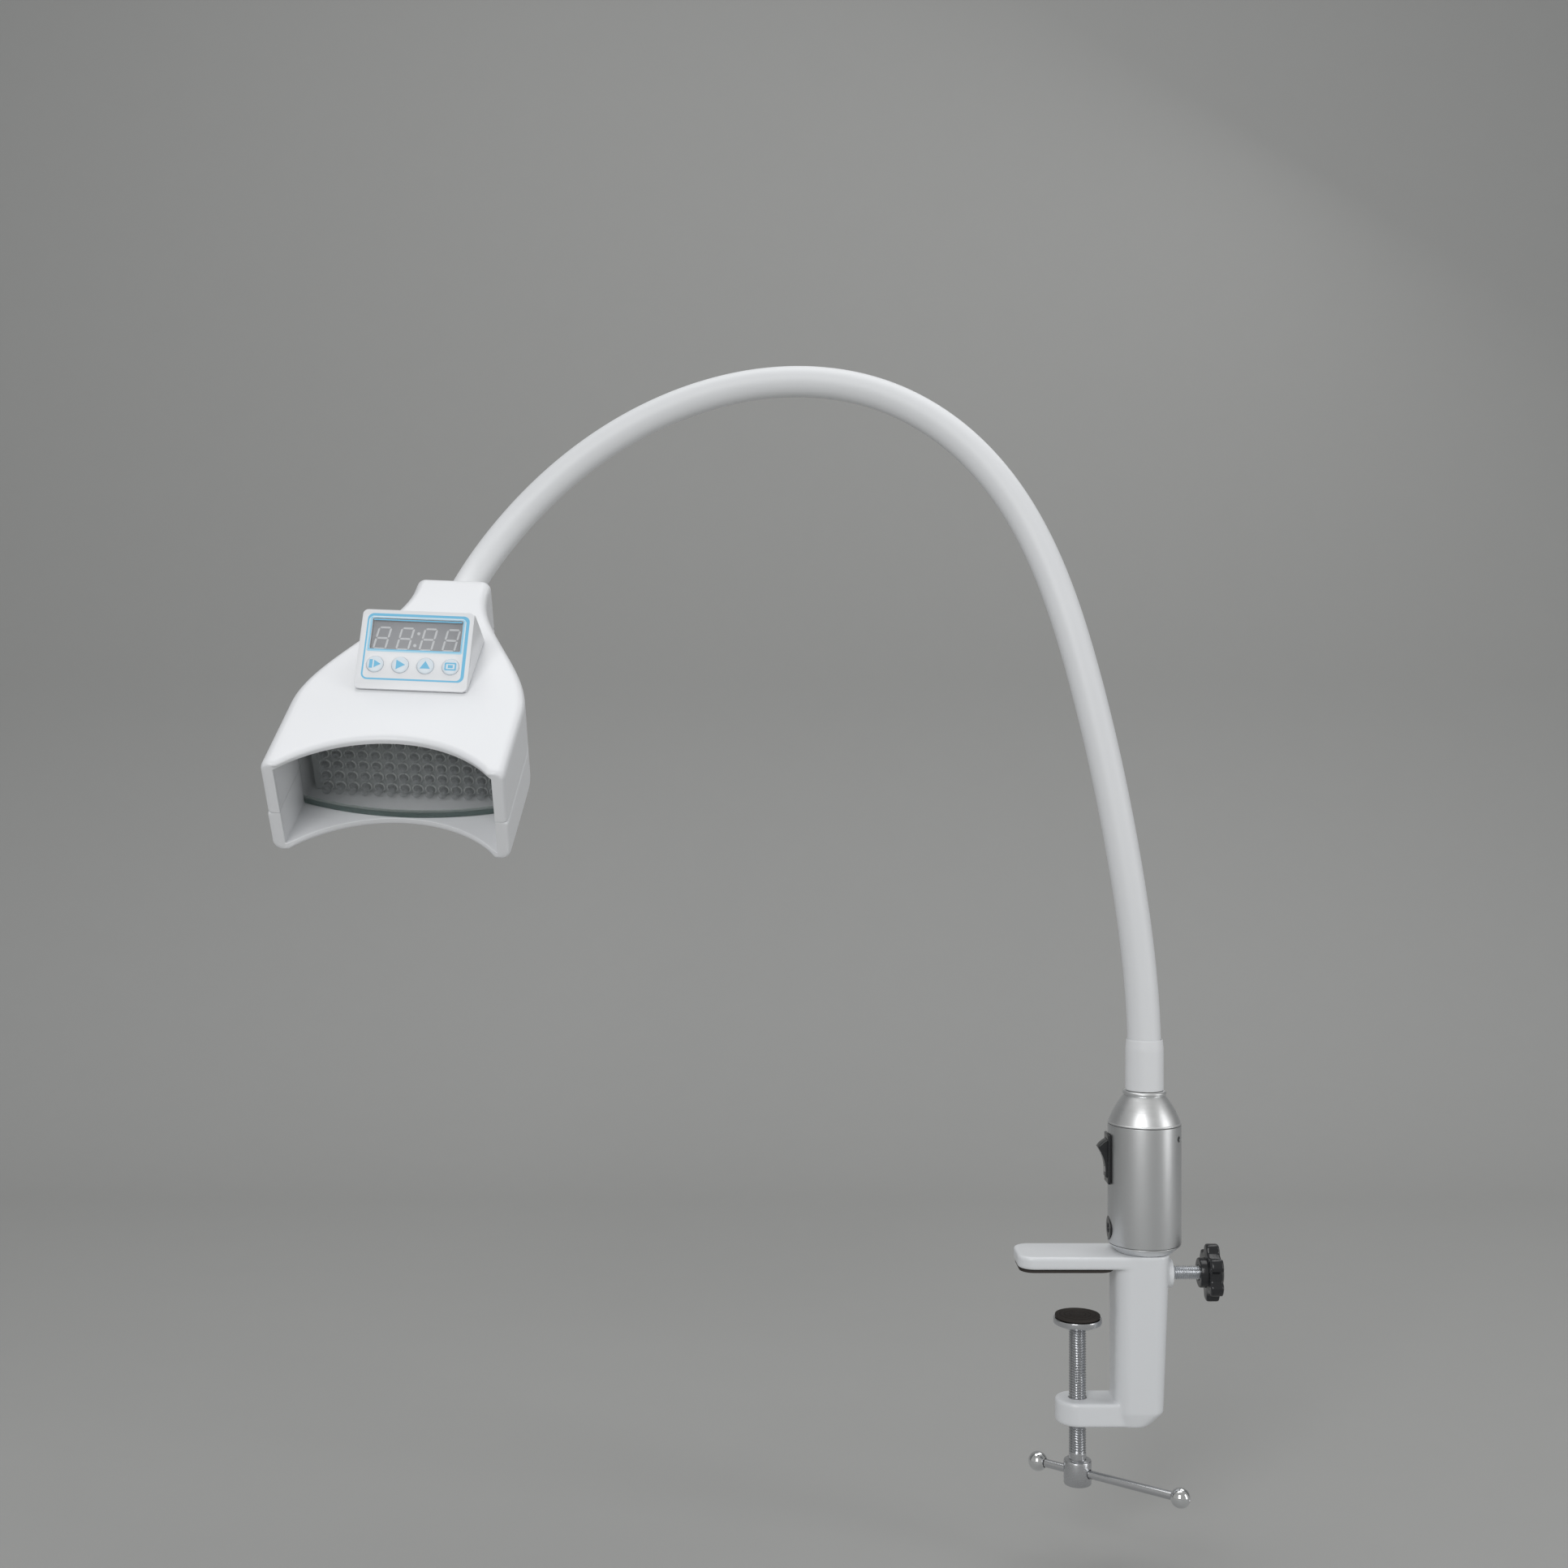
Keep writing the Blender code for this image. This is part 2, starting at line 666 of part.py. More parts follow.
def build_neck(frames, parents):
    """The sleeve and hose segments; the first rides on the post, the last on the head."""
    stops = [-NECK_FOOT, *neck_joints(), NECK_LENGTH]
    for index, (start, end) in enumerate(zip(stops, stops[1:])):
        ball, cup = index > 0, index < NECK_SEGMENTS - 1
        count = ring_count(frames, start, end)
        sleeve = neck_segment(f"neck_sleeve_{index + 1}", frames, start, end, ball, cup, count)
        dress(sleeve, "white_silicone", parents[index])
        low = start + SOLID_AFTER_BALL + FIT if ball else start
        high = end - SOLID_BEFORE_CUP - FIT if cup else end
        dress(hose_segment(f"neck_hose_{index + 1}", frames, low, high, count), "steel", parents[index])


# Clamp

def build_clamp(parent):
    """The cast body with its tongue, spine, lower arm, boss and socket."""
    half = CLAMP_WIDTH / 2
    tongue = prism("clamp_body", rounded_outline(-SPINE_X, POST_X, -half, half, TONGUE_CORNER),
                   TONGUE_UNDERSIDE, CLAMP_TOP)
    foot_half = SPINE_FOOT_WIDTH / 2
    rows = ((CLAMP_TOP, SPINE_TOP, half), (ARM_FOOT + SPINE_CHAMFER, SPINE_FOOT, foot_half),
            (ARM_FOOT, SPINE_FOOT - SPINE_CHAMFER, foot_half - SPINE_CHAMFER / 4))
    rings = []
    for height, length, width in rows:
        outline = rounded_outline(SPINE_X, SPINE_X + length, -width, width, SPINE_CORNER)
        rings.append([(x, y, height) for x, y in outline])
    spine = loft("spine", rings)
    arm_half = ARM_WIDTH / 2
    arm = prism("arm", rounded_outline(SCREW_X - arm_half, POST_X, -arm_half, arm_half, arm_half - FIT),
                ARM_FOOT, ARM_TOP)
    lock_z = TABLE_TOP - LOCK_DROP
    boss = bar("boss", BOSS_DIAMETER / 2, (POST_X, 0, lock_z), (POST_X + BOSS_REACH, 0, lock_z))
    body = join(tongue, spine, arm, boss)
    socket = bar("socket", BORE_RADIUS, (POST_X, 0, CLAMP_TOP - SPIGOT_DEPTH - 2 * FIT),
                 (POST_X, 0, CLAMP_TOP + OVERRUN))
    lock_hole = bar("lock_hole", LOCK_DIAMETER / 2 + FIT, (POST_X, 0, lock_z),
                    (POST_X + BOSS_REACH + OVERRUN, 0, lock_z))
    screw_hole = bar("screw_hole", SCREW_DIAMETER / 2 + FIT, (SCREW_X, 0, ARM_FOOT - OVERRUN),
                     (SCREW_X, 0, ARM_TOP + OVERRUN))
    dress(cut(body, socket, lock_hole, screw_hole), "white_paint", parent)
    pad_x, pad_y = SPINE_X - PAD_MARGIN, half - PAD_MARGIN
    pad = prism("jaw_pad", rounded_outline(-pad_x, pad_x, -pad_y, pad_y, TONGUE_CORNER - PAD_MARGIN),
                TABLE_TOP, PAD_THICKNESS)
    dress(pad, "black_rubber", parent)


def build_clamp_screw(slide, turn, handle):
    """Pressure pad, screw with its head, and the tommy bar with a ball at each end."""
    at = Matrix.Translation((SCREW_X, 0, 0))
    face = TABLE_TOP - TABLE_THICKNESS
    rubber_radius = PRESS_DIAMETER / 2 - PAD_MARGIN
    rubber = bar("press_rubber", rubber_radius, (SCREW_X, 0, face - PRESS_RUBBER), (SCREW_X, 0, face))
    dress(rubber, "black_rubber", slide)
    top = face - PRESS_RUBBER - FIT
    foot = top - PRESS_THICKNESS
    radius, bore = PRESS_DIAMETER / 2, SCREW_DIAMETER / 2 + FIT
    pad = turned("pressure_pad", ((0, top), (radius, top), (radius, (top + foot) / 2),
                                  (bore + 2 * PAD_MARGIN, foot), (bore, foot),
                                  (bore, foot + PRESS_SOCKET), (0, foot + PRESS_SOCKET)), at)
    dress(pad, "steel", slide)
    tip = foot + PRESS_SOCKET - FIT
    middle = TABLE_TOP - HANDLE_DEPTH
    neck, head = SCREW_DIAMETER / 2, SCREW_HEAD_DIAMETER / 2
    head_top, head_foot = middle + SCREW_HEAD_LENGTH / 2, middle - SCREW_HEAD_LENGTH / 2
    screw = turned("clamp_screw", ((0, tip), (neck - PAD_MARGIN, tip), (neck, tip - PAD_MARGIN),
                                   (neck, head_top), (head, head_top), (head, head_foot), (0, head_foot)), at)
    run = Vector((math.cos(math.radians(BAR_TURN_DEG)), math.sin(math.radians(BAR_TURN_DEG)), 0))
    centre = Vector((SCREW_X, 0, middle))
    hole = bar("hole", BAR_DIAMETER / 2 + FIT, centre - run * (head + OVERRUN), centre + run * (head + OVERRUN))
    dress(cut(screw, hole), "steel", turn)
    far = centre + run * BAR_REACH
    near = far - run * BAR_LENGTH
    inset = BALL_DIAMETER / 2 - BALL_SOCKET
    rod = bar("tommy_bar", BAR_DIAMETER / 2, near - run * (inset + FIT), far + run * (inset + FIT), 20)
    dress(rod, "steel", handle)
    for name, place, outward in (("tommy_ball_left", near, -run), ("tommy_ball_right", far, run)):
        bpy.ops.mesh.primitive_uv_sphere_add(segments=16, ring_count=10, radius=BALL_DIAMETER / 2, location=place)
        ball = collect(bpy.context.object)
        ball.name = name
        inner_end = place - outward * (BALL_DIAMETER / 2 - BALL_SOCKET)
        socket = bar("socket", BAR_DIAMETER / 2 + FIT, place - outward * BALL_DIAMETER, inner_end + outward * FIT * 2, 20)
        dress(cut(bake(ball), socket), "chrome", handle)


def knob_outline():
    """The star knob's outline, one wave for each lobe."""
    middle = KNOB_DIAMETER / 2 - KNOB_WAVE
    count = KNOB_LOBES * 6
    outline = []
    for at in range(count):
        angle = 2 * math.pi * at / count
        radius = middle + KNOB_WAVE * math.tanh(2 * math.cos(KNOB_LOBES * angle)) / math.tanh(2)
        outline.append((radius * math.cos(angle), radius * math.sin(angle)))
    return outline


def build_lock(slide, turn):
    """Nylon tip, threaded stud and star knob, along X from the spigot outward."""
    z = TABLE_TOP - LOCK_DROP
    radius = LOCK_DIAMETER / 2
    tip_x = POST_X + SPIGOT_DIAMETER / 2 + FIT
    tip = bar("lock_tip", radius, (tip_x, 0, z), (tip_x + LOCK_TIP_LENGTH, 0, z), 24)
    dress(tip, "nylon", slide)
    stud_x = tip_x + LOCK_TIP_LENGTH + FIT
    hub_x = POST_X + BOSS_REACH + LOCK_FREE_LENGTH
    stud_end = hub_x + KNOB_SOCKET - FIT
    along = Matrix.Translation((0, 0, z)) @ Matrix.Rotation(math.pi / 2, 4, "Y")
    stud = turned("lock_stud", ((0, stud_x), (radius - PAD_MARGIN, stud_x), (radius, stud_x + PAD_MARGIN),
                                (radius, stud_end), (0, stud_end)), along, 24)
    dress(stud, "zinc", turn)
    star_x = hub_x + KNOB_HUB_LENGTH
    star = prism("lock_knob", knob_outline(), star_x, star_x + KNOB_LENGTH, along)
    star = bevel(star, PAD_MARGIN, 1)
    hub = bar("hub", KNOB_HUB_DIAMETER / 2, (hub_x, 0, z), (star_x + KNOB_LENGTH / 2, 0, z))
    dome_x, dome = star_x + KNOB_LENGTH, KNOB_DOME_DIAMETER / 2
    cap = turned("cap", ((0, dome_x - KNOB_LENGTH / 2), (dome, dome_x - KNOB_LENGTH / 2), (dome, dome_x),
                         (dome * 0.8, dome_x + KNOB_DOME * 0.5), (dome * 0.45, dome_x + KNOB_DOME * 0.88),
                         (0, dome_x + KNOB_DOME)), along)
    socket = bar("socket", radius + FIT, (hub_x - OVERRUN, 0, z), (hub_x + KNOB_SOCKET, 0, z), 24)
    dress(cut(join(star, hub, cap), socket), "black_plastic", turn)


# Post

def at_post():
    return Matrix.Translation((POST_X, 0, 0))


def build_post_foot(parent):
    """Spigot, its nut and the chamfered base ring."""
    pin, stud = SPIGOT_DIAMETER / 2, SPIGOT_STUD_DIAMETER / 2
    foot = CLAMP_TOP - SPIGOT_DEPTH
    nut_foot = TUBE_FOOT - FIT + PLUG_HEIGHT - NUT_POCKET_DEPTH + FIT
    stud_top = nut_foot + NUT_THICKNESS + FIT
    spigot = turned("spigot", ((0, foot), (pin - PAD_MARGIN, foot), (pin, foot + PAD_MARGIN), (pin, CLAMP_TOP),
                               (stud, CLAMP_TOP), (stud, stud_top), (0, stud_top)), at_post())
    dress(spigot, "steel", parent)
    outer, plug = TUBE_DIAMETER / 2, TUBE_DIAMETER / 2 - TUBE_WALL - FIT
    shoulder = TUBE_FOOT - FIT
    top = shoulder + PLUG_HEIGHT
    pocket, bore = NUT_POCKET_DIAMETER / 2, stud + FIT
    base = turned("post_base", ((bore, BASE_FOOT), (outer - BASE_CHAMFER, BASE_FOOT), (outer, shoulder),
                                (plug, shoulder), (plug, top), (pocket, top), (pocket, top - NUT_POCKET_DEPTH),
                                (bore, top - NUT_POCKET_DEPTH)), at_post(), FINE_STEPS, ring=True)
    dress(base, "satin_aluminium", parent)
    nut = bar("spigot_nut", NUT_WIDTH / 2, (POST_X, 0, nut_foot), (POST_X, 0, nut_foot + NUT_THICKNESS), 6)
    hole = bar("hole", bore, (POST_X, 0, nut_foot - OVERRUN), (POST_X, 0, nut_foot + NUT_THICKNESS + OVERRUN), 20)
    dress(cut(nut, hole), "zinc", parent)


def build_tube(parent):
    """The aluminium tube with the openings for the switch, the jack and the set screw."""
    outer = TUBE_DIAMETER / 2
    inner = outer - TUBE_WALL
    tube = turned("post_tube", ((inner, TUBE_FOOT), (outer, TUBE_FOOT), (outer, TUBE_TOP), (inner, TUBE_TOP)),
                  at_post(), FINE_STEPS, ring=True)
    left = POST_X - outer
    middle = TUBE_TOP - SWITCH_DROP
    seat = left - SWITCH_PROUD + SWITCH_FLANGE + FIT
    wide, tall = SWITCH_WIDTH / 2 + FIT, SWITCH_HEIGHT / 2 + FIT
    flat = box("flat", (left - OVERRUN, -wide, middle - tall), (seat, wide, middle + tall))
    wide, tall = SWITCH_WIDTH / 2 - SWITCH_RIM, SWITCH_HEIGHT / 2 - SWITCH_RIM
    hole = box("hole", (left - OVERRUN, -wide, middle - tall), (POST_X, wide, middle + tall))
    jack_z = TUBE_FOOT + JACK_RISE
    jack_seat = left + JACK_FLANGE + FIT
    recess = bar("recess", JACK_FLANGE_DIAMETER / 2 + FIT, (left - OVERRUN, 0, jack_z), (jack_seat, 0, jack_z))
    jack_hole = bar("jack_hole", JACK_DIAMETER / 2 + FIT, (left - OVERRUN, 0, jack_z), (POST_X, 0, jack_z))
    dress(cut(tube, flat, hole, recess, jack_hole, set_screw_hole()), "satin_aluminium", parent)


def set_screw_line():
    """The set screw's place: its axis direction and a point on the post's axis."""
    turn = math.radians(SET_SCREW_TURN_DEG)
    outward = Vector((math.sin(turn), -math.cos(turn), 0))
    return Vector((POST_X, 0, TUBE_TOP - SET_SCREW_DROP)), outward


def set_screw_hole():
    centre, outward = set_screw_line()
    return bar("hole", SET_SCREW_DIAMETER / 2 + FIT, centre, centre + outward * (TUBE_DIAMETER / 2 + OVERRUN), 20)


def build_cone(parent):
    """The turned cone with a skirt inside the tube, and the screw that holds it."""
    outer, top = TUBE_DIAMETER / 2, CONE_TOP_DIAMETER / 2
    land, bead_foot = CONE_FOOT + CONE_LAND, CONE_TOP - CONE_BEAD
    flank = [(outer + (top - outer) * narrow, land + (bead_foot - land) * rise) for rise, narrow in CONE_BELLY_SHARES]
    bead = CONE_BEAD_DIAMETER / 2
    skirt = outer - TUBE_WALL - FIT
    inside = skirt - SKIRT_WALL
    roof = CONE_TOP - CONE_ROOF
    hole, nut_room = FERRULE_THREAD_DIAMETER / 2 + FIT, FERRULE_NUT_DIAMETER / 2 + PAD_MARGIN
    skirt_foot = CONE_FOOT - SKIRT_LENGTH
    profile = [(inside, skirt_foot), (skirt, skirt_foot), (skirt, CONE_FOOT), (outer, CONE_FOOT), (outer, land),
               *flank, (top, bead_foot), (bead, bead_foot + CONE_BEAD / 4), (bead, CONE_TOP - CONE_BEAD / 4),
               (top, CONE_TOP), (hole, CONE_TOP), (hole, roof), (nut_room, roof), (inside, CONE_FOOT + CONE_LAND)]
    cone = turned("post_cone", profile, at_post(), FINE_STEPS, ring=True)
    middle = TUBE_TOP - SWITCH_DROP
    wide = SWITCH_WIDTH / 2
    notch = box("notch", (POST_X - outer - OVERRUN, -wide, skirt_foot - OVERRUN),
                (POST_X, wide, middle + SWITCH_HEIGHT / 2 + FIT))
    dress(cut(cone, notch, set_screw_hole()), "satin_aluminium", parent)
    centre, outward = set_screw_line()
    end = TUBE_DIAMETER / 2 - SET_SCREW_SINK
    screw = bar("set_screw", SET_SCREW_DIAMETER / 2, centre + outward * (end - SET_SCREW_LENGTH),
                centre + outward * end, 16)
    dress(screw, "black_plastic", parent)


def build_switch(parent, turn):
    """Switch housing with its flange, and the rocker, its upper end out."""
    left = POST_X - TUBE_DIAMETER / 2
    face = left - SWITCH_PROUD
    middle = TUBE_TOP - SWITCH_DROP
    wide, tall = SWITCH_WIDTH / 2, SWITCH_HEIGHT / 2
    flange = box("switch_housing", (face, -wide, middle - tall), (face + SWITCH_FLANGE, wide, middle + tall))
    rim = SWITCH_RIM + FIT
    body = box("body", (face + SWITCH_FLANGE / 2, rim - wide, middle + rim - tall),
               (face + SWITCH_DEPTH, wide - rim, middle + tall - rim))
    room = wide - rim - SWITCH_WALL
    pivot_x = face + ROCKER_PIVOT_DEPTH
    well = bar("well", ROCKER_RADIUS + FIT, (pivot_x, -room, middle), (pivot_x, room, middle), FINE_STEPS)
    dress(cut(join(flange, body), well), "black_plastic", parent)
    tips = [math.radians(ROCKER_TIP_DEG + (150 - ROCKER_TIP_DEG) * step / 8) for step in range(9)]
    upper = [(ROCKER_RADIUS * math.cos(angle), ROCKER_RADIUS * math.sin(angle)) for angle in tips]
    upper = [(out, up) for out, up in upper if out > -ROCKER_BACK]
    back = math.sqrt(ROCKER_RADIUS ** 2 - ROCKER_BACK ** 2)
    outline = [(ROCKER_VALLEY, 0), *upper, (-ROCKER_BACK, back), (-ROCKER_BACK, -back),
               *[(out, -up) for out, up in reversed(upper)]]
    # Outline X points out of the tube, outline Y up, and the thickness runs along Y
    place = Matrix(((-1, 0, 0, pivot_x), (0, 0, 1, 0), (0, 1, 0, middle), (0, 0, 0, 1)))
    tilt = Matrix.Rotation(-math.radians(ROCKER_TILT_DEG), 4, "Z")
    rocker = prism("switch_rocker", outline, FIT - room, room - FIT, place @ tilt)
    dress(rocker, "black_plastic", turn)


def build_jack(parent):
    """The low-voltage jack with its centre pin, and the nut inside the tube."""
    left = POST_X - TUBE_DIAMETER / 2
    z = TUBE_FOOT + JACK_RISE
    along = Matrix.Translation((left, 0, z)) @ Matrix.Rotation(math.pi / 2, 4, "Y")
    flange, barrel, bore, pin = (size / 2 for size in (JACK_FLANGE_DIAMETER, JACK_DIAMETER, JACK_BORE, JACK_PIN_DIAMETER))
    jack = turned("dc_jack", ((0, FIT), (pin, FIT), (pin, JACK_BORE_DEPTH), (bore, JACK_BORE_DEPTH), (bore, 0),
                              (flange, 0), (flange, JACK_FLANGE), (barrel, JACK_FLANGE), (barrel, JACK_LENGTH),
                              (0, JACK_LENGTH)), along, 24)
    dress(jack, "black_plastic", parent)
    start = TUBE_WALL + JACK_NUT_GAP
    end = start + JACK_NUT_THICKNESS
    nut = turned("dc_jack_nut", ((barrel + FIT, start), (JACK_NUT_DIAMETER / 2, start),
                                 (JACK_NUT_DIAMETER / 2, end), (barrel + FIT, end)), along, 24, ring=True)
    dress(nut, "zinc", parent)


def ferrule(name, place):
    """A hose ferrule: nipple above its seat, flange, and thread below."""
    bore, nipple = FERRULE_BORE / 2, NIPPLE_DIAMETER / 2
    flange, thread = FERRULE_FLANGE_DIAMETER / 2, FERRULE_THREAD_DIAMETER / 2
    return turned(name, ((bore, -FERRULE_THREAD_LENGTH), (thread, -FERRULE_THREAD_LENGTH), (thread, 0), (flange, 0),
                         (flange, FERRULE_FLANGE), (nipple, FERRULE_FLANGE),
                         (nipple, FERRULE_FLANGE + NIPPLE_LENGTH), (bore, FERRULE_FLANGE + NIPPLE_LENGTH)),
                  place, 24, ring=True)


def ferrule_nut(name, place, seat):
    """The ferrule's lock nut, its face seat below the flange."""
    bore, outer = FERRULE_THREAD_DIAMETER / 2 + FIT, FERRULE_NUT_DIAMETER / 2
    foot = -seat - FERRULE_NUT_THICKNESS
    return turned(name, ((bore, foot), (outer, foot), (outer, -seat), (bore, -seat)), place, 24, ring=True)


def build_neck_foot(parent):
    """Lower ferrule, its nut, the white collar, and the lead from the jack."""
    place = Matrix.Translation((POST_X, 0, FERRULE_SEAT))
    dress(ferrule("ferrule_lower", place), "brass", parent)
    dress(ferrule_nut("ferrule_nut_lower", place, CONE_ROOF + 2 * FIT), "zinc", parent)
    outer, inner = COLLAR_DIAMETER / 2, SLEEVE_DIAMETER / 2 + 2 * FIT
    top = FERRULE_SEAT + COLLAR_LENGTH
    collar = turned("neck_collar", ((inner, FERRULE_SEAT), (outer, FERRULE_SEAT), (outer, top - COLLAR_TAPER),
                                    (inner + FIT, top), (inner, top)), at_post(), ROUND_STEPS, ring=True)
    dress(collar, "white_silicone", parent)
    jack_end = POST_X - TUBE_DIAMETER / 2 + JACK_LENGTH + FIT
    jack_z = TUBE_FOOT + JACK_RISE
    free_x = POST_X - TUBE_DIAMETER / 2 - SWITCH_PROUD + SWITCH_DEPTH + LEAD_DIAMETER + OVERRUN / 2
    route = ((jack_end, 0, jack_z), (POST_X - LEAD_DIAMETER, 0, jack_z + LEAD_DIAMETER / 2),
             (free_x, 0, TUBE_FOOT + TUBE_LENGTH * 0.4), (free_x, 0, TUBE_TOP - SWITCH_DROP),
             (POST_X, 0, TUBE_TOP), (POST_X, 0, CONE_TOP - FERRULE_THREAD_LENGTH / 2))
    dress(tube_curve("post_lead", route, LEAD_DIAMETER), "lead_black", parent)


# Head

def half_width(distance):
    """Half the head's width at a distance from the neck's back face."""
    share = smoothstep((distance - SHOULDER_START) / SHOULDER_LENGTH)
    return (NECK_WIDTH + (HEAD_WIDTH - NECK_WIDTH) * share) / 2


def depth(distance):
    """The head's depth below its top at a distance from the neck's back face."""
    belly_end = BELLY_START + BELLY_LENGTH
    if distance <= belly_end:
        return NECK_DEPTH + (BELLY_DEPTH - NECK_DEPTH) * smoothstep((distance - BELLY_START) / BELLY_LENGTH)
    share = (distance - belly_end) / (HEAD_LENGTH - belly_end)
    return BELLY_DEPTH - (BELLY_DEPTH - MOUTH_DEPTH) * share ** 2


def side_wall(distance):
    """The side wall's thickness, which grows towards the mouth."""
    return SKIN + (MOUTH_SIDE_WALL - SKIN) * smoothstep((distance - SHOULDER_START) / SHOULDER_LENGTH)


def head_section(distance, side, skin, corner):
    """A section of the head at a distance from its back, drawn in by its walls."""
    wide = half_width(distance) - side
    outline = rounded_outline(-wide, wide, skin - depth(distance), -skin, corner)
    return [(x, -distance, z) for x, z in outline]


def head_stations(start, end):
    return [start + (end - start) * at / (HEAD_STATIONS - 1) for at in range(HEAD_STATIONS)]


def head_hull():
    """The head's outer form, still closed at the mouth."""
    rings = [head_section(0, HEAD_END_ROUND, HEAD_END_ROUND, HEAD_CORNER)]
    rings += [head_section(at, 0, 0, HEAD_CORNER) for at in head_stations(HEAD_END_ROUND, HEAD_LENGTH)]
    return loft("hull", rings)


def head_hollow(gap=0.0):
    """The room inside the head, run out past the mouth, less a gap all round."""
    rings = [head_section(at, side_wall(at) + gap, SKIN + gap, HEAD_CORNER - SKIN)
             for at in head_stations(SKIN, HEAD_LENGTH)]
    last = rings[-1]
    rings.append([(x, y - OVERRUN, z) for x, y, z in last])
    return loft("hollow", rings)


def shell_half(name, low, high):
    """The part of the head's shell between two heights, with the mouth's round cut."""
    wide = HEAD_WIDTH
    shell = cut(head_hull(), head_hollow())
    slab = box("slab", (-wide, -HEAD_LENGTH - OVERRUN, low), (wide, OVERRUN, high))
    shell = combine(shell, slab, "INTERSECT")
    centre_y = -(HEAD_LENGTH - MOUTH_ARC_DEPTH) - MOUTH_ARC_RADIUS
    mouth = bar("mouth", MOUTH_ARC_RADIUS, (0, centre_y, -BELLY_DEPTH - OVERRUN), (0, centre_y, OVERRUN), 96)
    shell = cut(shell, mouth)
    shell.name = name
    return shell


def shell_screw_places():
    """Screw places as (x, y) in the head's frame."""
    return [(side * x, -distance) for x, distance in ((NECK_SCREW_SIDE, NECK_SCREW_DISTANCE),
                                                      (SHOULDER_SCREW_SIDE, SHOULDER_SCREW_DISTANCE))
            for side in (-1, 1)]


def driver_corners():
    """Standoff places under the driver board, and its height."""
    inset = STANDOFF_DIAMETER / 2
    near, far = DRIVER_START + inset, DRIVER_START + DRIVER_LENGTH - inset
    half = DRIVER_WIDTH / 2 - inset
    return [(side * half, -distance) for side in (-1, 1) for distance in (near, far)]


def driver_underside():
    return SKIN - depth(DRIVER_START) + DRIVER_HEIGHT


def build_shells(frame):
    """Upper and lower shells with their bosses, bulkhead and openings."""
    parting = FIT / 2
    upper = shell_half("head_upper_shell", parting - PARTING_DEPTH, OVERRUN)
    lower = shell_half("head_lower_shell", -BELLY_DEPTH - OVERRUN, -parting - PARTING_DEPTH)
    wall_y = -BULKHEAD_DISTANCE
    inner = NECK_WIDTH / 2 - SKIN / 2
    bulkhead = box("bulkhead", (-inner, wall_y - BULKHEAD_THICKNESS, parting - PARTING_DEPTH), (inner, wall_y, -SKIN / 2))
    upper = join(upper, bulkhead)
    sleeve_hole = bar("sleeve_hole", SLEEVE_DIAMETER / 2 + FIT, (0, OVERRUN, -ENTRY_DEPTH), (0, -SKIN * 1.5, -ENTRY_DEPTH))
    ferrule_hole = bar("ferrule_hole", FERRULE_THREAD_DIAMETER / 2 + FIT, (0, wall_y + SKIN, -ENTRY_DEPTH),
                       (0, wall_y - BULKHEAD_THICKNESS - OVERRUN / 2, -ENTRY_DEPTH))
    upper = cut(upper, sleeve_hole, ferrule_hole)
    front, back = panel_foot(), pod_back()
    cutout = box("cutout", (-POD_WINDOW_WIDTH / 2, -front + CUTOUT_MARGIN, -SKIN - OVERRUN),
                 (POD_WINDOW_WIDTH / 2, -back - CUTOUT_MARGIN, OVERRUN))
    upper = cut(upper, cutout)
    web_foot = -PARTING_DEPTH - parting - SHELL_WEB
    for x, y in shell_screw_places():
        boss = bar("boss", BOSS_OUTER / 2, (x, y, parting - PARTING_DEPTH), (x, y, -SKIN / 2), 20)
        pilot = bar("pilot", SHELL_SCREW_DIAMETER / 2 + FIT, (x, y, -PARTING_DEPTH - OVERRUN),
                    (x, y, SHELL_PILOT - PARTING_DEPTH), 16)
        upper = cut(join(upper, boss), pilot)
        inside = -depth(-y)
        boss = bar("boss", BOSS_OUTER / 2, (x, y, inside + SKIN / 2), (x, y, -parting - PARTING_DEPTH), 20)
        hole = bar("hole", SHELL_SCREW_DIAMETER / 2 + FIT, (x, y, inside - OVERRUN), (x, y, -PARTING_DEPTH + OVERRUN), 16)
        room = bar("room", SHELL_HEAD_DIAMETER / 2 + FIT, (x, y, inside - OVERRUN), (x, y, web_foot), 20)
        lower = cut(join(lower, boss), hole, room)
    for x, y in driver_corners():
        standoff = bar("standoff", STANDOFF_DIAMETER / 2, (x, y, SKIN / 2 - depth(-y)), (x, y, driver_underside() - FIT), 16)
        lower = join(lower, standoff)
    dress(upper, "white_abs", frame, local=True)
    dress(lower, "white_abs", frame, local=True)


def build_shell_screws(frame):
    """Four screws from below, each head against the lower boss's web."""
    seat = -PARTING_DEPTH - FIT / 2 - SHELL_WEB - FIT
    shank, head = SHELL_SCREW_DIAMETER / 2, SHELL_HEAD_DIAMETER / 2
    for number, (x, y) in enumerate(shell_screw_places(), 1):
        screw = turned(f"shell_screw_{number}", ((0, seat - SHELL_HEAD_HEIGHT), (head, seat - SHELL_HEAD_HEIGHT),
                                                 (head, seat), (shank, seat), (shank, seat + SHELL_SCREW_LENGTH),
                                                 (0, seat + SHELL_SCREW_LENGTH)), Matrix.Translation((x, y, 0)), 16)
        dress(screw, "zinc", frame, local=True)


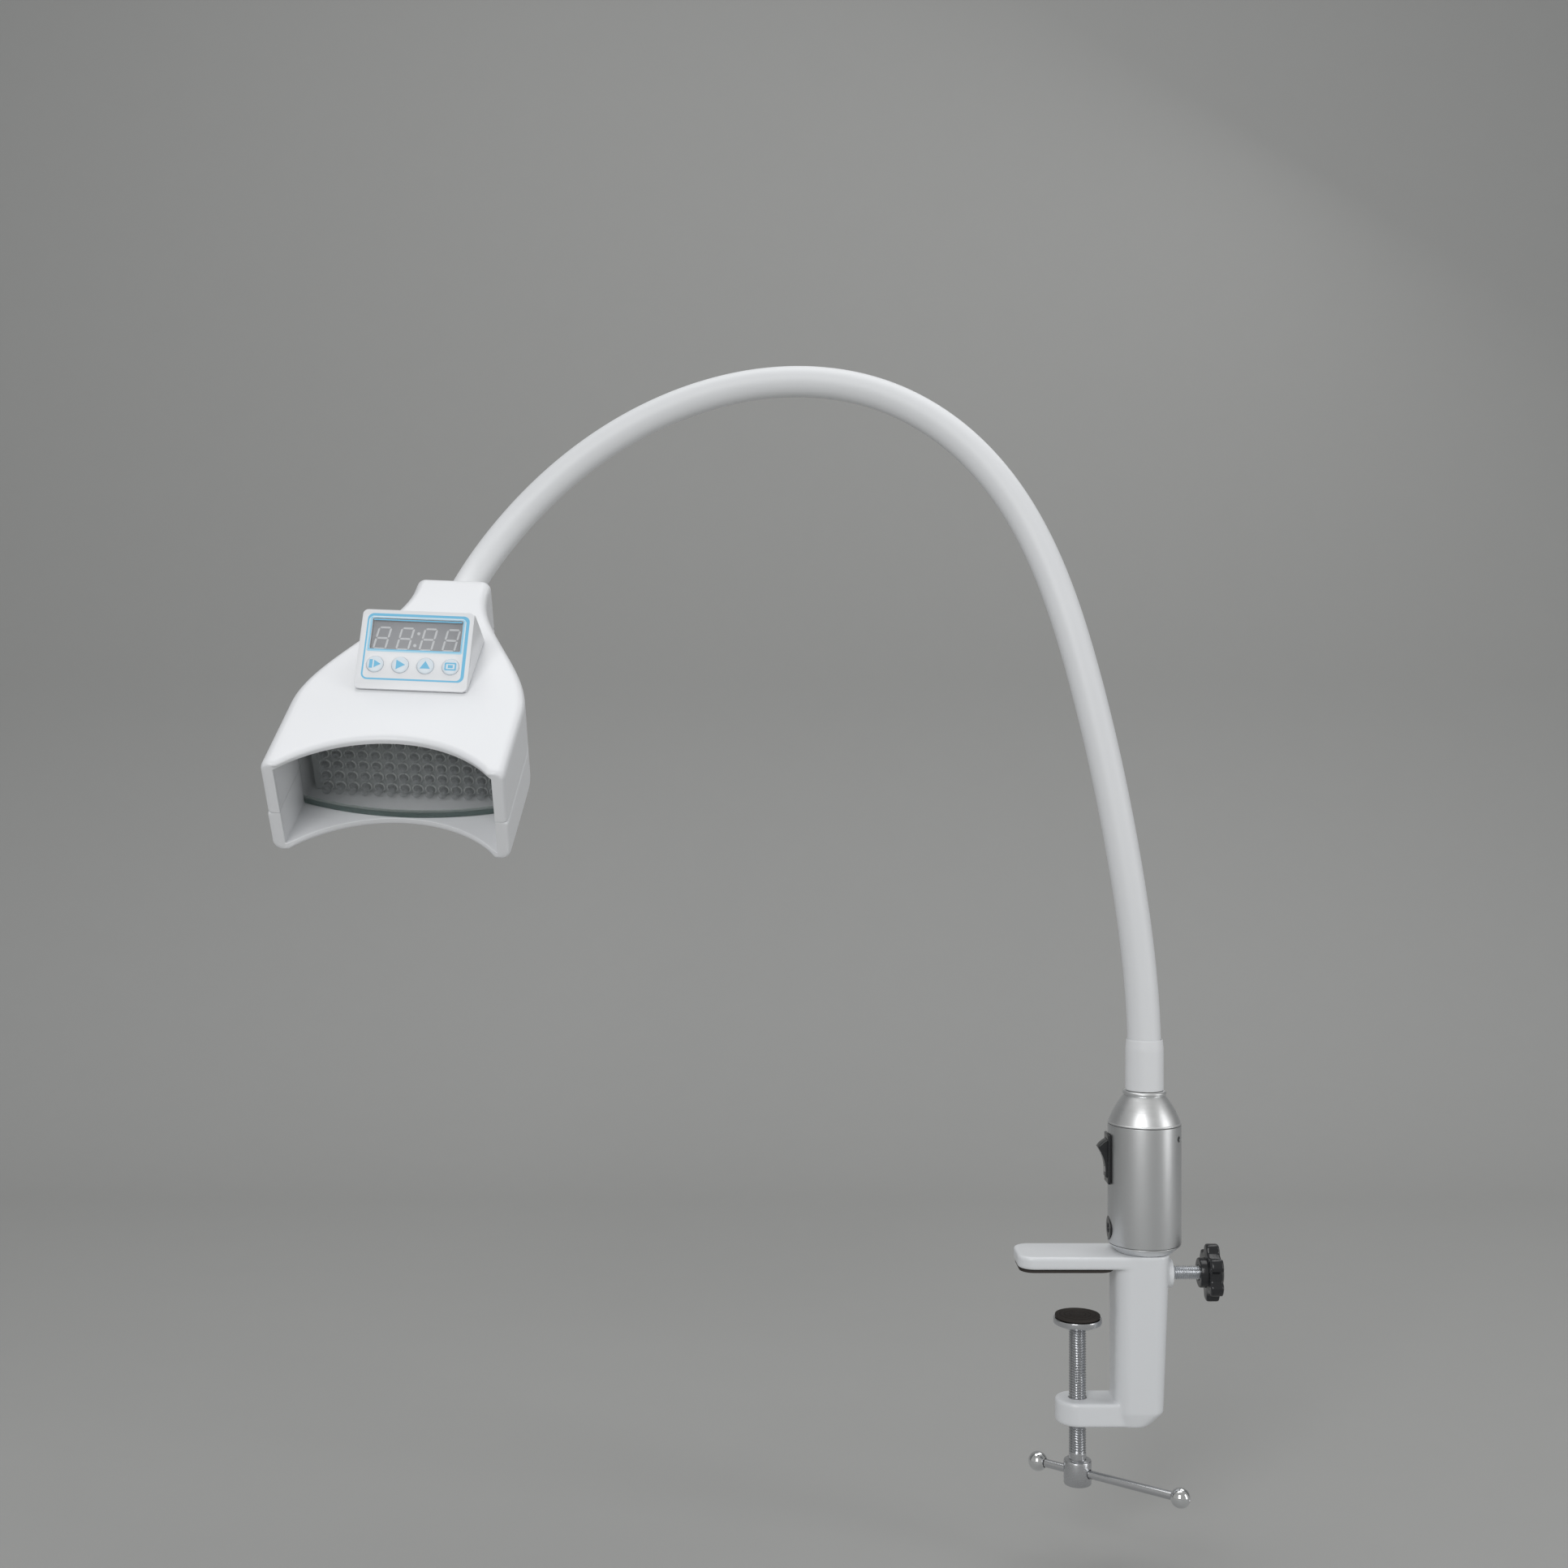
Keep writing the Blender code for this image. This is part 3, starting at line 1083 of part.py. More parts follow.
def build_lens(frame):
    """The curved clear plate behind the mouth."""
    centre_y = LENS_RADIUS - LENS_FRONT
    edge = LENS_FRONT - LENS_THICKNESS
    swing = math.asin(half_width(edge) / LENS_RADIUS)
    outer, inner = [], []
    for step in range(LENS_STEPS + 1):
        angle = swing * (2 * step / LENS_STEPS - 1)
        outer.append((LENS_RADIUS * math.sin(angle), centre_y - LENS_RADIUS * math.cos(angle)))
        radius = LENS_RADIUS - LENS_THICKNESS
        inner.append((radius * math.sin(angle), centre_y - radius * math.cos(angle)))
    lens = prism("lens", [*outer, *reversed(inner)], -BELLY_DEPTH, 0)
    dress(combine(lens, head_hollow(FIT), "INTERSECT"), "clear_lens", frame, local=True)


def build_led_board(frame):
    """A flat board whose front face carries a grid of LEDs."""
    y = -LED_BOARD_DISTANCE
    rear = y + BOARD_THICKNESS
    top, foot = -SKIN - BOARD_MARGIN, SKIN + BOARD_MARGIN - depth(LED_BOARD_DISTANCE)
    middle = (top + foot) / 2
    edge = half_width(LED_BOARD_DISTANCE) - side_wall(LED_BOARD_DISTANCE) - BOARD_SIDE_MARGIN
    columns = int(2 * (edge - LED_EDGE) / LED_PITCH)
    rows = int((top - foot - 2 * LED_EDGE) / LED_PITCH)
    xs = [LED_PITCH * (at - columns / 2) for at in range(columns + 1)]
    zs = [middle + LED_PITCH * (at - rows / 2) for at in range(rows + 1)]
    xs = [-edge, *xs, edge]
    zs = [foot, *zs, top]
    form = bmesh.new()
    front = [[form.verts.new((x, y, z)) for x in xs] for z in zs]
    cells = []
    for row in range(len(zs) - 1):
        for column in range(len(xs) - 1):
            face = form.faces.new((front[row][column], front[row][column + 1],
                                   front[row + 1][column + 1], front[row + 1][column]))
            if 0 < row < len(zs) - 2 and 0 < column < len(xs) - 2:
                cells.append(face)
    slab = bmesh.ops.extrude_face_region(form, geom=list(form.faces))
    for part in slab["geom"]:
        if isinstance(part, bmesh.types.BMVert):
            part.co.y = rear
    bmesh.ops.inset_individual(form, faces=cells, thickness=(LED_PITCH - LED_WIDTH) / 2, use_even_offset=True)
    raised = bmesh.ops.extrude_discrete_faces(form, faces=cells)["faces"]
    for face in raised:
        centre = face.calc_center_median()
        for corner in face.verts:
            corner.co = centre.lerp(corner.co, LED_TIP_SHARE) + Vector((0, -LED_BODY, 0))
    bmesh.ops.recalc_face_normals(form, faces=form.faces)
    mesh = bpy.data.meshes.new("led_board")
    form.to_mesh(mesh)
    form.free()
    board = bpy.data.objects.new("led_board", mesh)
    bpy.data.collections[LAMP].objects.link(board)
    dress(board, "board_white", frame, local=True)


def build_heat_sink(frame):
    """A finned aluminium plate on the LED board's back."""
    face = -LED_BOARD_DISTANCE + BOARD_THICKNESS + FIT
    half = half_width(LED_BOARD_DISTANCE) - side_wall(LED_BOARD_DISTANCE) - SINK_MARGIN
    pitch = 2 * (half - SINK_FIN_WIDTH / 2) / (SINK_FINS - 1)
    back, tip = face + SINK_PLATE, face + SINK_PLATE + SINK_FIN
    outline = [(-half, face), (half, face)]
    for fin in reversed(range(SINK_FINS)):
        middle = -half + SINK_FIN_WIDTH / 2 + pitch * fin
        right, left = middle + SINK_FIN_WIDTH / 2, middle - SINK_FIN_WIDTH / 2
        outline += [(right, back), (right, tip), (left, tip), (left, back)]
    outline = [point for at, point in enumerate(outline) if at not in (2, len(outline) - 1)]
    foot = SKIN + SINK_MARGIN - depth(LED_BOARD_DISTANCE)
    sink = prism("heat_sink", outline, foot, -SKIN - SINK_MARGIN)
    dress(sink, "satin_aluminium", frame, local=True)


def build_driver_board(frame):
    """The LED driver on its standoffs, with its coil and capacitor."""
    low = driver_underside()
    high = low + BOARD_THICKNESS
    half = DRIVER_WIDTH / 2
    near, far = -DRIVER_START, -DRIVER_START - DRIVER_LENGTH
    board = box("driver_board", (-half, far, low), (half, near, high))
    middle = (near + far) / 2
    coil = box("coil", (-COIL_SIZE * 1.3, middle - COIL_SIZE / 2, low + BOARD_THICKNESS / 2),
               (-COIL_SIZE * 0.3, middle + COIL_SIZE / 2, high + COIL_HEIGHT))
    cap = bar("cap", CAP_DIAMETER / 2, (CAP_DIAMETER, middle, low + BOARD_THICKNESS / 2),
              (CAP_DIAMETER, middle, high + CAP_HEIGHT), 20)
    dress(join(board, coil, cap), "board_green", frame, local=True)


def panel_frame():
    """The panel's frame in the head's frame."""
    tilt = math.radians(PANEL_TILT_DEG)
    turn = Matrix.Rotation(tilt, 4, "X")
    return Matrix.Translation((0, -PANEL_DISTANCE, PANEL_RISE)) @ turn


def pod_face_line():
    """The pod's face behind the bezel, as y and z at height zero and at the panel's top."""
    place = panel_frame()
    behind = -PANEL_THICKNESS - FIT
    top = place @ Vector((0, PANEL_HEIGHT / 2, behind))
    low = place @ Vector((0, -PANEL_HEIGHT / 2, behind))
    share = (FIT - low.z) / (top.z - low.z)
    return low.lerp(top, share), top


def panel_foot():
    """Distance from the neck's back face to the pod's front foot."""
    return -pod_face_line()[0].y


def pod_back():
    """Distance from the neck's back face to the pod's back foot."""
    return -pod_face_line()[1].y - POD_BACK_RUN


def build_pod(frame):
    """The wedge that carries the panel, hollow and open below."""
    foot, top = pod_face_line()
    back = -pod_back()
    half = PANEL_WIDTH / 2
    # Outline X is the head's Y and outline Y its Z; the thickness runs along its X
    place = Matrix(((0, 0, 1, 0), (1, 0, 0, 0), (0, 1, 0, 0), (0, 0, 0, 1)))
    wedge = prism("control_pod", ((foot.y, FIT), (back, FIT), (top.y, top.z)), -half, half, place)
    tilt = math.radians(PANEL_TILT_DEG)
    rear = math.atan2(top.z - FIT, back - top.y)
    front_y = foot.y + POD_WALL / math.sin(tilt)
    back_y = back - POD_WALL / math.sin(rear)
    slope_front, slope_back = math.tan(tilt), math.tan(rear)
    peak_y = (front_y * slope_front + back_y * slope_back) / (slope_front + slope_back)
    peak_z = FIT + (peak_y - front_y) * slope_front
    below = OVERRUN
    room = prism("room", ((front_y - below / slope_front, FIT - below), (back_y + below / slope_back, FIT - below),
                          (peak_y, peak_z)), POD_WALL - half, half - POD_WALL, place)
    pane = POD_WINDOW_WIDTH / 2
    window = box("window", (-pane, -POD_WINDOW_FOOT, -PANEL_THICKNESS - OVERRUN),
                 (pane, POD_WINDOW_TOP, OVERRUN))
    window.matrix_world = panel_frame()
    dress(cut(wedge, room, window), "white_abs", frame, local=True)


def button_xs():
    return [BUTTON_PITCH * (at - (BUTTON_COUNT - 1) / 2) for at in range(BUTTON_COUNT)]


def build_panel(frame):
    """Bezel, window, display and control board, in the panel's frame."""
    half, tall = PANEL_WIDTH / 2, PANEL_HEIGHT / 2
    bezel = prism("panel_bezel", rounded_outline(-half, half, -tall, tall, PANEL_CORNER), -PANEL_THICKNESS, 0)
    wide, high = WINDOW_WIDTH / 2, WINDOW_HEIGHT / 2
    opening = box("opening", (-wide, WINDOW_UP - high, -PANEL_THICKNESS - OVERRUN), (wide, WINDOW_UP + high, OVERRUN))
    bezel = cut(bezel, opening)
    for x in button_xs():
        hole = bar("hole", BUTTON_DIAMETER / 2 + FIT, (x, -BUTTON_DOWN, -PANEL_THICKNESS - OVERRUN),
                   (x, -BUTTON_DOWN, OVERRUN), 24)
        bezel = cut(bezel, hole)
    dress(bezel, "white_abs", frame, local=True)
    window = box("display_window", (FIT - wide, WINDOW_UP - high + FIT, -WINDOW_SINK - WINDOW_THICKNESS),
                 (wide - FIT, WINDOW_UP + high - FIT, -WINDOW_SINK))
    dress(window, "window_smoke", frame, local=True)
    wide, high = DISPLAY_WIDTH / 2, DISPLAY_HEIGHT / 2
    display_top = -PANEL_THICKNESS - FIT
    display = box("display_module", (-wide, WINDOW_UP - high, display_top - DISPLAY_DEPTH),
                  (wide, WINDOW_UP + high, display_top))
    dress(display, "display_grey", frame, local=True)
    board_top = display_top - DISPLAY_DEPTH - FIT
    wide = CONTROL_BOARD_WIDTH / 2
    board = box("control_board", (-wide, -CONTROL_BOARD_FOOT, board_top - BOARD_THICKNESS),
                (wide, CONTROL_BOARD_TOP, board_top))
    for x in button_xs():
        half = TACT_SIZE / 2
        tact = box("tact", (x - half, -BUTTON_DOWN - half, board_top - BOARD_THICKNESS / 2),
                   (x + half, -BUTTON_DOWN + half, board_top + TACT_HEIGHT))
        board = join(board, tact)
    dress(board, "board_green", frame, local=True)


def build_buttons(frame, parents):
    """Round buttons held behind the bezel by their flanges."""
    flange_top = -PANEL_THICKNESS - FIT
    for number, (x, parent) in enumerate(zip(button_xs(), parents), 1):
        cap, flange, stem = BUTTON_DIAMETER / 2, BUTTON_FLANGE / 2, BUTTON_STEM / 2
        foot = flange_top - BUTTON_FLANGE_THICKNESS
        button = turned(f"button_{number}", ((0, BUTTON_PROUD), (cap - BUTTON_PROUD / 2, BUTTON_PROUD),
                                             (cap, BUTTON_PROUD / 2), (cap, flange_top), (flange, flange_top),
                                             (flange, foot), (stem, foot), (stem, foot - BUTTON_STEM_LENGTH),
                                             (0, foot - BUTTON_STEM_LENGTH)), steps=16)
        dress(button, "button_blue", parent, local=True)


def build_head_neck(frame):
    """Upper ferrule and nut in the neck, and the lead to the driver board."""
    seat = -BULKHEAD_DISTANCE + FIT
    place = Matrix.Translation((0, seat, -ENTRY_DEPTH)) @ Matrix.Rotation(-math.pi / 2, 4, "X")
    dress(ferrule("ferrule_upper", place), "brass", frame, local=True)
    dress(ferrule_nut("ferrule_nut_upper", place, BULKHEAD_THICKNESS + 2 * FIT), "zinc", frame, local=True)
    thread_end = seat - FERRULE_THREAD_LENGTH
    top = driver_underside() + BOARD_THICKNESS
    route = ((0, thread_end + LEAD_DIAMETER, -ENTRY_DEPTH), (0, thread_end - 2 * LEAD_DIAMETER, -ENTRY_DEPTH),
             (0, -NECK_SCREW_DISTANCE, -ENTRY_DEPTH - LEAD_DIAMETER * 2),
             (0, -DRIVER_START + LEAD_DIAMETER * 2, top + LEAD_DIAMETER * 2),
             (0, -DRIVER_START - LEAD_DIAMETER, top + LEAD_DIAMETER / 2 + FIT))
    dress(tube_curve("head_lead", route, LEAD_DIAMETER), "lead_black", frame, local=True)


def head_frame_matrix(frames):
    """The head's frame: its back face on the neck's end, its length along the neck."""
    place, along, inward = frames[-1]
    roll = Quaternion(along, math.radians(HEAD_ROLL_DEG))
    right = roll @ inward
    up = along.cross(right).normalized()
    back = -along
    turn = Matrix((right, back, up)).transposed().to_4x4()
    entry = place - along * SLEEVE_INSERT
    return Matrix.Translation(entry + up * ENTRY_DEPTH) @ turn


def print_joints(frames, head_matrix):
    """Places and axes for the record, in metres."""
    for number, distance in enumerate(neck_joints(), 1):
        place, along, inward = frame_at(frames, distance)
        side = along.cross(inward)
        print("JOINT flex", number, [round(v, 6) for v in place], "pitch axis", [round(v, 6) for v in side],
              "yaw axis", [round(v, 6) for v in inward])
    panel = head_matrix @ panel_frame()
    out = panel.col[2].xyz
    for number, x in enumerate(button_xs(), 1):
        print("JOINT button", number, [round(v, 6) for v in panel @ Vector((x, -BUTTON_DOWN, 0))],
              [round(v, 6) for v in -out])
    print("JOINT head", [[round(v, 6) for v in row] for row in head_matrix])


def main():
    clear_scene()
    bpy.context.scene.collection.children.link(bpy.data.collections.new(LAMP))
    make_finishes()
    frames = neck_frames()
    clamp = empty("clamp_frame", Matrix())
    slide = empty("clamp_slide_frame", Matrix.Translation((SCREW_X, 0, TABLE_TOP - TABLE_THICKNESS)), clamp)
    turn = empty("clamp_screw_frame", slide.matrix_world.copy(), slide)
    handle = empty("tommy_bar_frame", Matrix.Translation((SCREW_X, 0, TABLE_TOP - HANDLE_DEPTH)), turn)
    lock_place = Matrix.Translation((POST_X + SPIGOT_DIAMETER / 2, 0, TABLE_TOP - LOCK_DROP))
    lock_slide = empty("lock_slide_frame", lock_place, clamp)
    lock_turn = empty("lock_screw_frame", lock_place, lock_slide)
    post = empty("post_frame", Matrix.Translation((POST_X, 0, CLAMP_TOP)), clamp)
    pivot = (POST_X - TUBE_DIAMETER / 2 - SWITCH_PROUD + ROCKER_PIVOT_DEPTH, 0, TUBE_TOP - SWITCH_DROP)
    rocker = empty("rocker_frame", Matrix.Translation(pivot), post)
    neck = [post]
    for number, distance in enumerate(neck_joints(), 2):
        neck.append(empty(f"neck_{number}_frame", Matrix.Translation(frame_at(frames, distance)[0]), neck[-1]))
    head = empty("head_frame", head_frame_matrix(frames), neck[-1])
    panel = empty("panel_frame", head.matrix_world @ panel_frame(), head)
    button_frames = [empty(f"button_{number}_frame", panel.matrix_world @ Matrix.Translation((x, -BUTTON_DOWN, 0)), panel)
                     for number, x in enumerate(button_xs(), 1)]

    build_clamp(clamp)
    build_clamp_screw(slide, turn, handle)
    build_lock(lock_slide, lock_turn)
    build_post_foot(post)
    build_tube(post)
    build_cone(post)
    build_switch(post, rocker)
    build_jack(post)
    build_neck_foot(post)
    build_neck(frames, neck)
    build_head_neck(head)
    build_shells(head)
    build_shell_screws(head)
    build_lens(head)
    build_led_board(head)
    build_heat_sink(head)
    build_driver_board(head)
    build_pod(head)
    build_panel(panel)
    build_buttons(panel, button_frames)
    print_joints(frames, head.matrix_world)


main()
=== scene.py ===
# %% [markdown]
# # A teeth whitening lamp on a desk clamp
# The CAD model says where every piece of the lamp is and how it moves. This script dresses it:
# each visible piece is made again as a finer surface, worked out with numpy, and gets a finish.
# Everything is in metres, with +Z up and the lamp seen from the front along +Y.

import json
import math

import bmesh
import bpy
import numpy as np
from mathutils import Matrix, Quaternion, Vector


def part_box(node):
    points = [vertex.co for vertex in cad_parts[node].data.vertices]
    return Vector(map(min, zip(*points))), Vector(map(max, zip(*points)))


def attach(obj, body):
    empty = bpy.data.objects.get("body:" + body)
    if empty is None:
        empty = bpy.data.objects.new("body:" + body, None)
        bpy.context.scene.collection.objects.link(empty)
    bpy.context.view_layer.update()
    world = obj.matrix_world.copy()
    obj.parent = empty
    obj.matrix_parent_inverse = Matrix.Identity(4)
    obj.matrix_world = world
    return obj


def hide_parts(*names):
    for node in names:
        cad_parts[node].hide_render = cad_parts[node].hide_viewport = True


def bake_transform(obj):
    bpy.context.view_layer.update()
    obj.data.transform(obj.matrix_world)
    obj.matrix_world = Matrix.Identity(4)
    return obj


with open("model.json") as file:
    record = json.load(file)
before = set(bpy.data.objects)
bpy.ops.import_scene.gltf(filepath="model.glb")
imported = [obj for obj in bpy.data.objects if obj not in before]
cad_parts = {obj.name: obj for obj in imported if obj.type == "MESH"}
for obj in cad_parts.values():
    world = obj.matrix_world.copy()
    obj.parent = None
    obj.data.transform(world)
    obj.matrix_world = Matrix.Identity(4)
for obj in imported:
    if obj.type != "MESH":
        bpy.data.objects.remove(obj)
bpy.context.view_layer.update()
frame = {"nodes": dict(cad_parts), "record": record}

# %% [markdown]
# ## Finishes
# The lamp has few finishes: moulded white plastic, painted casting, silicone, turned aluminium,
# bright steel and black plastic. Up close none is quite even: plastic has a fine grain from its
# mould, turned metal has rings, and gloss drifts a little. An image could carry that, but a node
# group that reads Object coordinates works at any size. One group serves every finish: noise
# stretched along an axis gives rings or brush lines, and unstretched noise gives grain.

# %% One node group for grain, rings and drift
def surface_group():
    """Stretched noise raises the surface and changes the gloss; slow noise drifts the colour."""
    group = bpy.data.node_groups.new("lamp_surface", "ShaderNodeTree")
    for label, kind in (("Colour", "NodeSocketColor"), ("Roughness", "NodeSocketFloat"),
                        ("Stretch", "NodeSocketVector"), ("Relief", "NodeSocketFloat"),
                        ("Drift", "NodeSocketFloat"), ("Gloss Drift", "NodeSocketFloat")):
        group.interface.new_socket(label, in_out="INPUT", socket_type=kind)
    for label, kind in (("Colour", "NodeSocketColor"), ("Roughness", "NodeSocketFloat"),
                        ("Normal", "NodeSocketVector")):
        group.interface.new_socket(label, in_out="OUTPUT", socket_type=kind)
    nodes, link = group.nodes, group.links.new
    given, made = nodes.new("NodeGroupInput"), nodes.new("NodeGroupOutput")
    place = nodes.new("ShaderNodeTexCoord")
    pulled = nodes.new("ShaderNodeVectorMath")
    pulled.operation = "MULTIPLY"
    link(place.outputs["Object"], pulled.inputs[0])
    link(given.outputs["Stretch"], pulled.inputs[1])
    fine = nodes.new("ShaderNodeTexNoise")
    fine.inputs["Scale"].default_value = 1.0
    fine.inputs["Detail"].default_value = 3.0
    link(pulled.outputs[0], fine.inputs["Vector"])
    slow = nodes.new("ShaderNodeTexNoise")
    slow.inputs["Scale"].default_value = 22.0
    slow.inputs["Detail"].default_value = 2.0
    link(place.outputs["Object"], slow.inputs["Vector"])
    bump = nodes.new("ShaderNodeBump")
    link(given.outputs["Relief"], bump.inputs["Distance"])
    link(fine.outputs["Fac"], bump.inputs["Height"])
    link(bump.outputs["Normal"], made.inputs["Normal"])
    for label, source in (("Drift", slow), ("Gloss Drift", fine)):
        centred = nodes.new("ShaderNodeMath")
        centred.operation = "SUBTRACT"
        centred.inputs[1].default_value = 0.5
        link(source.outputs["Fac"], centred.inputs[0])
        scaled = nodes.new("ShaderNodeMath")
        scaled.operation = "MULTIPLY"
        link(centred.outputs[0], scaled.inputs[0])
        link(given.outputs[label], scaled.inputs[1])
        total = nodes.new("ShaderNodeMath")
        total.operation = "ADD"
        link(scaled.outputs[0], total.inputs[0])
        if label == "Drift":
            total.inputs[1].default_value = 1.0
            tint = nodes.new("ShaderNodeVectorMath")
            tint.operation = "SCALE"
            link(given.outputs["Colour"], tint.inputs[0])
            link(total.outputs[0], tint.inputs["Scale"])
            link(tint.outputs[0], made.inputs["Colour"])
        else:
            link(given.outputs["Roughness"], total.inputs[1])
            link(total.outputs[0], made.inputs["Roughness"])
    return group


SURFACE = surface_group()

# %% [markdown]
# Each finish is a row of numbers: the record's slot, colour, roughness, metal or not, how far the
# noise is stretched along X, Y and Z (one number where it is alike), the height of the relief, and
# the two drifts. Colours are in linear light: those of the outer pieces were set against the
# photograph, and those of the inner ones are usual for their material. The metals are never quite
# neutral: zinc is bluish, brass yellow, and satin aluminium a pale grey.

# %% Table of finishes
def surfaced(name, colour, roughness, stretch, relief, drift, gloss, metal=0, cover=1):
    """A material that takes colour, roughness and normal from the group; cover is its alpha."""
    look = bpy.data.materials.new(name)
    look.use_nodes = True
    nodes, link = look.node_tree.nodes, look.node_tree.links.new
    shader = nodes["Principled BSDF"]
    texture = nodes.new("ShaderNodeGroup")
    texture.node_tree = SURFACE
    values = {"Colour": (*colour, 1), "Roughness": roughness,
              "Stretch": (stretch,) * 3 if np.isscalar(stretch) else stretch,
              "Relief": relief, "Drift": drift, "Gloss Drift": gloss}
    for label, value in values.items():
        texture.inputs[label].default_value = value
    link(texture.outputs["Colour"], shader.inputs["Base Color"])
    link(texture.outputs["Roughness"], shader.inputs["Roughness"])
    link(texture.outputs["Normal"], shader.inputs["Normal"])
    shader.inputs["Metallic"].default_value = metal
    shader.inputs["Alpha"].default_value = cover
    return look


GRAIN, RINGS, DRAWN, WOUND = 2200, (40, 40, 2600), (2600, 2600, 500), (400, 400, 1800)
FINISHES = {
    "white_abs": ("white_abs", (0.79, 0.80, 0.815), 0.34, 0, GRAIN, 0.000010, 0.03, 0.10),
    "white_paint": ("white_paint", (0.76, 0.775, 0.79), 0.30, 0, 700, 0.000014, 0.03, 0.10),
    "white_silicone": ("white_silicone", (0.78, 0.79, 0.80), 0.46, 0, 1500, 0.000012, 0.04, 0.08),
    "satin_aluminium": ("satin_aluminium", (0.68, 0.69, 0.70), 0.40, 1, DRAWN, 0.000007, 0.04, 0.14),
    "turned_aluminium": ("satin_aluminium", (0.78, 0.79, 0.80), 0.40, 1, RINGS, 0.000022, 0.04, 0.20),
    "steel": ("steel", (0.60, 0.61, 0.63), 0.25, 1, WOUND, 0.000006, 0.05, 0.16),
    "steel_bar": ("steel", (0.62, 0.63, 0.65), 0.20, 1, 900, 0.000004, 0.05, 0.12),
    "chrome": ("chrome", (0.78, 0.79, 0.80), 0.07, 1, 300, 0.000002, 0.02, 0.04),
    "zinc": ("zinc", (0.66, 0.68, 0.71), 0.27, 1, 1500, 0.000008, 0.08, 0.20),
    "brass": ("brass", (0.72, 0.56, 0.27), 0.30, 1, RINGS, 0.000006, 0.05, 0.15),
    "black_plastic": ("black_plastic", (0.018, 0.019, 0.021), 0.18, 0, 1800, 0.000012, 0.10, 0.12),
    "black_rubber": ("black_rubber", (0.032, 0.026, 0.022), 0.80, 0, 1100, 0.00004, 0.20, 0.10),
    "nylon": ("nylon", (0.80, 0.79, 0.74), 0.50, 0, GRAIN, 0.000008, 0.04, 0.08),
    "board_white": ("board_white", (0.36, 0.375, 0.38), 0.45, 0, 900, 0.00001, 0.08, 0.10),
    # The collars are the diodes' real flanges; their near-white colour is painted highlight, for the
    # bright rims round the clear domes.
    "diode_collar": ("board_white", (0.88, 0.90, 0.89), 0.25, 0, GRAIN, 0.000004, 0.05, 0.08),
    "diode_cup": ("board_white", (0.30, 0.31, 0.32), 0.35, 0, GRAIN, 0.000004, 0.05, 0.08),
    "board_green": ("board_green", (0.04, 0.22, 0.10), 0.45, 0, 600, 0.00002, 0.15, 0.12),
    "display_grey": ("display_grey", (0.40, 0.405, 0.415), 0.42, 0, GRAIN, 0.000008, 0.06, 0.08),
    "lit_segment": ("display_grey", (0.95, 0.96, 0.97), 0.40, 0, GRAIN, 0.000004, 0.04, 0.05),
    "button_pale": ("button_blue", (0.72, 0.79, 0.84), 0.42, 0, GRAIN, 0.000008, 0.04, 0.08),
    "print_blue": ("button_blue", (0.155, 0.51, 0.75), 0.40, 0, GRAIN, 0.000004, 0.06, 0.08),
    "print_pale": ("button_blue", (0.42, 0.70, 0.85), 0.40, 0, GRAIN, 0.000004, 0.04, 0.08),
    "mark_white": ("black_plastic", (0.70, 0.70, 0.70), 0.45, 0, GRAIN, 0.000006, 0.05, 0.08),
    "lead_black": ("lead_black", (0.030, 0.030, 0.032), 0.50, 0, 1500, 0.00002, 0.10, 0.10),
}
LOOKS = {}
for name, (slot, colour, roughness, metal, *texture) in FINISHES.items():
    LOOKS[name] = (surfaced(name, colour, roughness, *texture, metal=metal), slot)
print("finishes:", len(LOOKS))

# %% [markdown]
# ## Lens, window and clear diodes
# The lens, the display's window and the diodes' tops are clear. Bent light through thin plates
# would only add noise, so each of them covers what lies behind it by a constant share: little for
# the lens's grey acrylic and the smoked window, more for the domes and for a paler band in the
# lens, a painted reflection of the diode row, and most for the green edge of the lens. Their rows
# hold the slot, colour, roughness and cover.

# %% Clear finishes
CLEAR = {
    "clear_lens": ("clear_lens", (0.38, 0.41, 0.41), 0.10, 0.14),
    "lens_rim": ("clear_lens", (0.075, 0.125, 0.115), 0.15, 0.78),
    # The paler band painted just above the lens's green edge is a painted reflection of the diode
    # row, not part of the acrylic.
    "lens_glint": ("clear_lens", (0.42, 0.47, 0.45), 0.20, 0.35),
    "window_smoke": ("window_smoke", (0.40, 0.41, 0.43), 0.22, 0.20),
    "diode_clear": ("board_white", (0.42, 0.44, 0.45), 0.08, 0.26),
}
for name, (slot, colour, roughness, cover) in CLEAR.items():
    LOOKS[name] = (surfaced(name, colour, roughness, 90, 0.000001, 0.05, 0.04, cover=cover), slot)

# %% [markdown]
# ## Surfaces from grids
# Nearly every piece here is a grid of points: one parameter runs along the piece and the other
# round or across it. A cylinder primitive gives sharp rims and no control over its profile, so a
# profile with rounded corners is turned instead. Faces only join neighbours in the grid.

# %% Grids, welds and finishes
def grid_faces(rows, columns, wrap_rows=False, wrap_columns=False):
    """Quads between neighbours of a grid whose points are numbered row by row."""
    index = np.arange(rows * columns).reshape(rows, columns)
    if wrap_rows:
        index = np.vstack((index, index[:1]))
    if wrap_columns:
        index = np.hstack((index, index[:, :1]))
    corners = (index[:-1, :-1], index[:-1, 1:], index[1:, 1:], index[1:, :-1])
    return np.stack(corners, -1).reshape(-1, 4)


def moved(points, place):
    """Points of a local frame in the lamp's frame: turned by the matrix, then shifted."""
    turn = np.array(place.to_3x3())
    return points @ turn.T + np.array(place.translation)


WELD = 0.000002


def placed(name, data):
    """A new object of the scene that carries the data."""
    made = bpy.data.objects.new(name, data)
    bpy.context.scene.collection.objects.link(made)
    return made


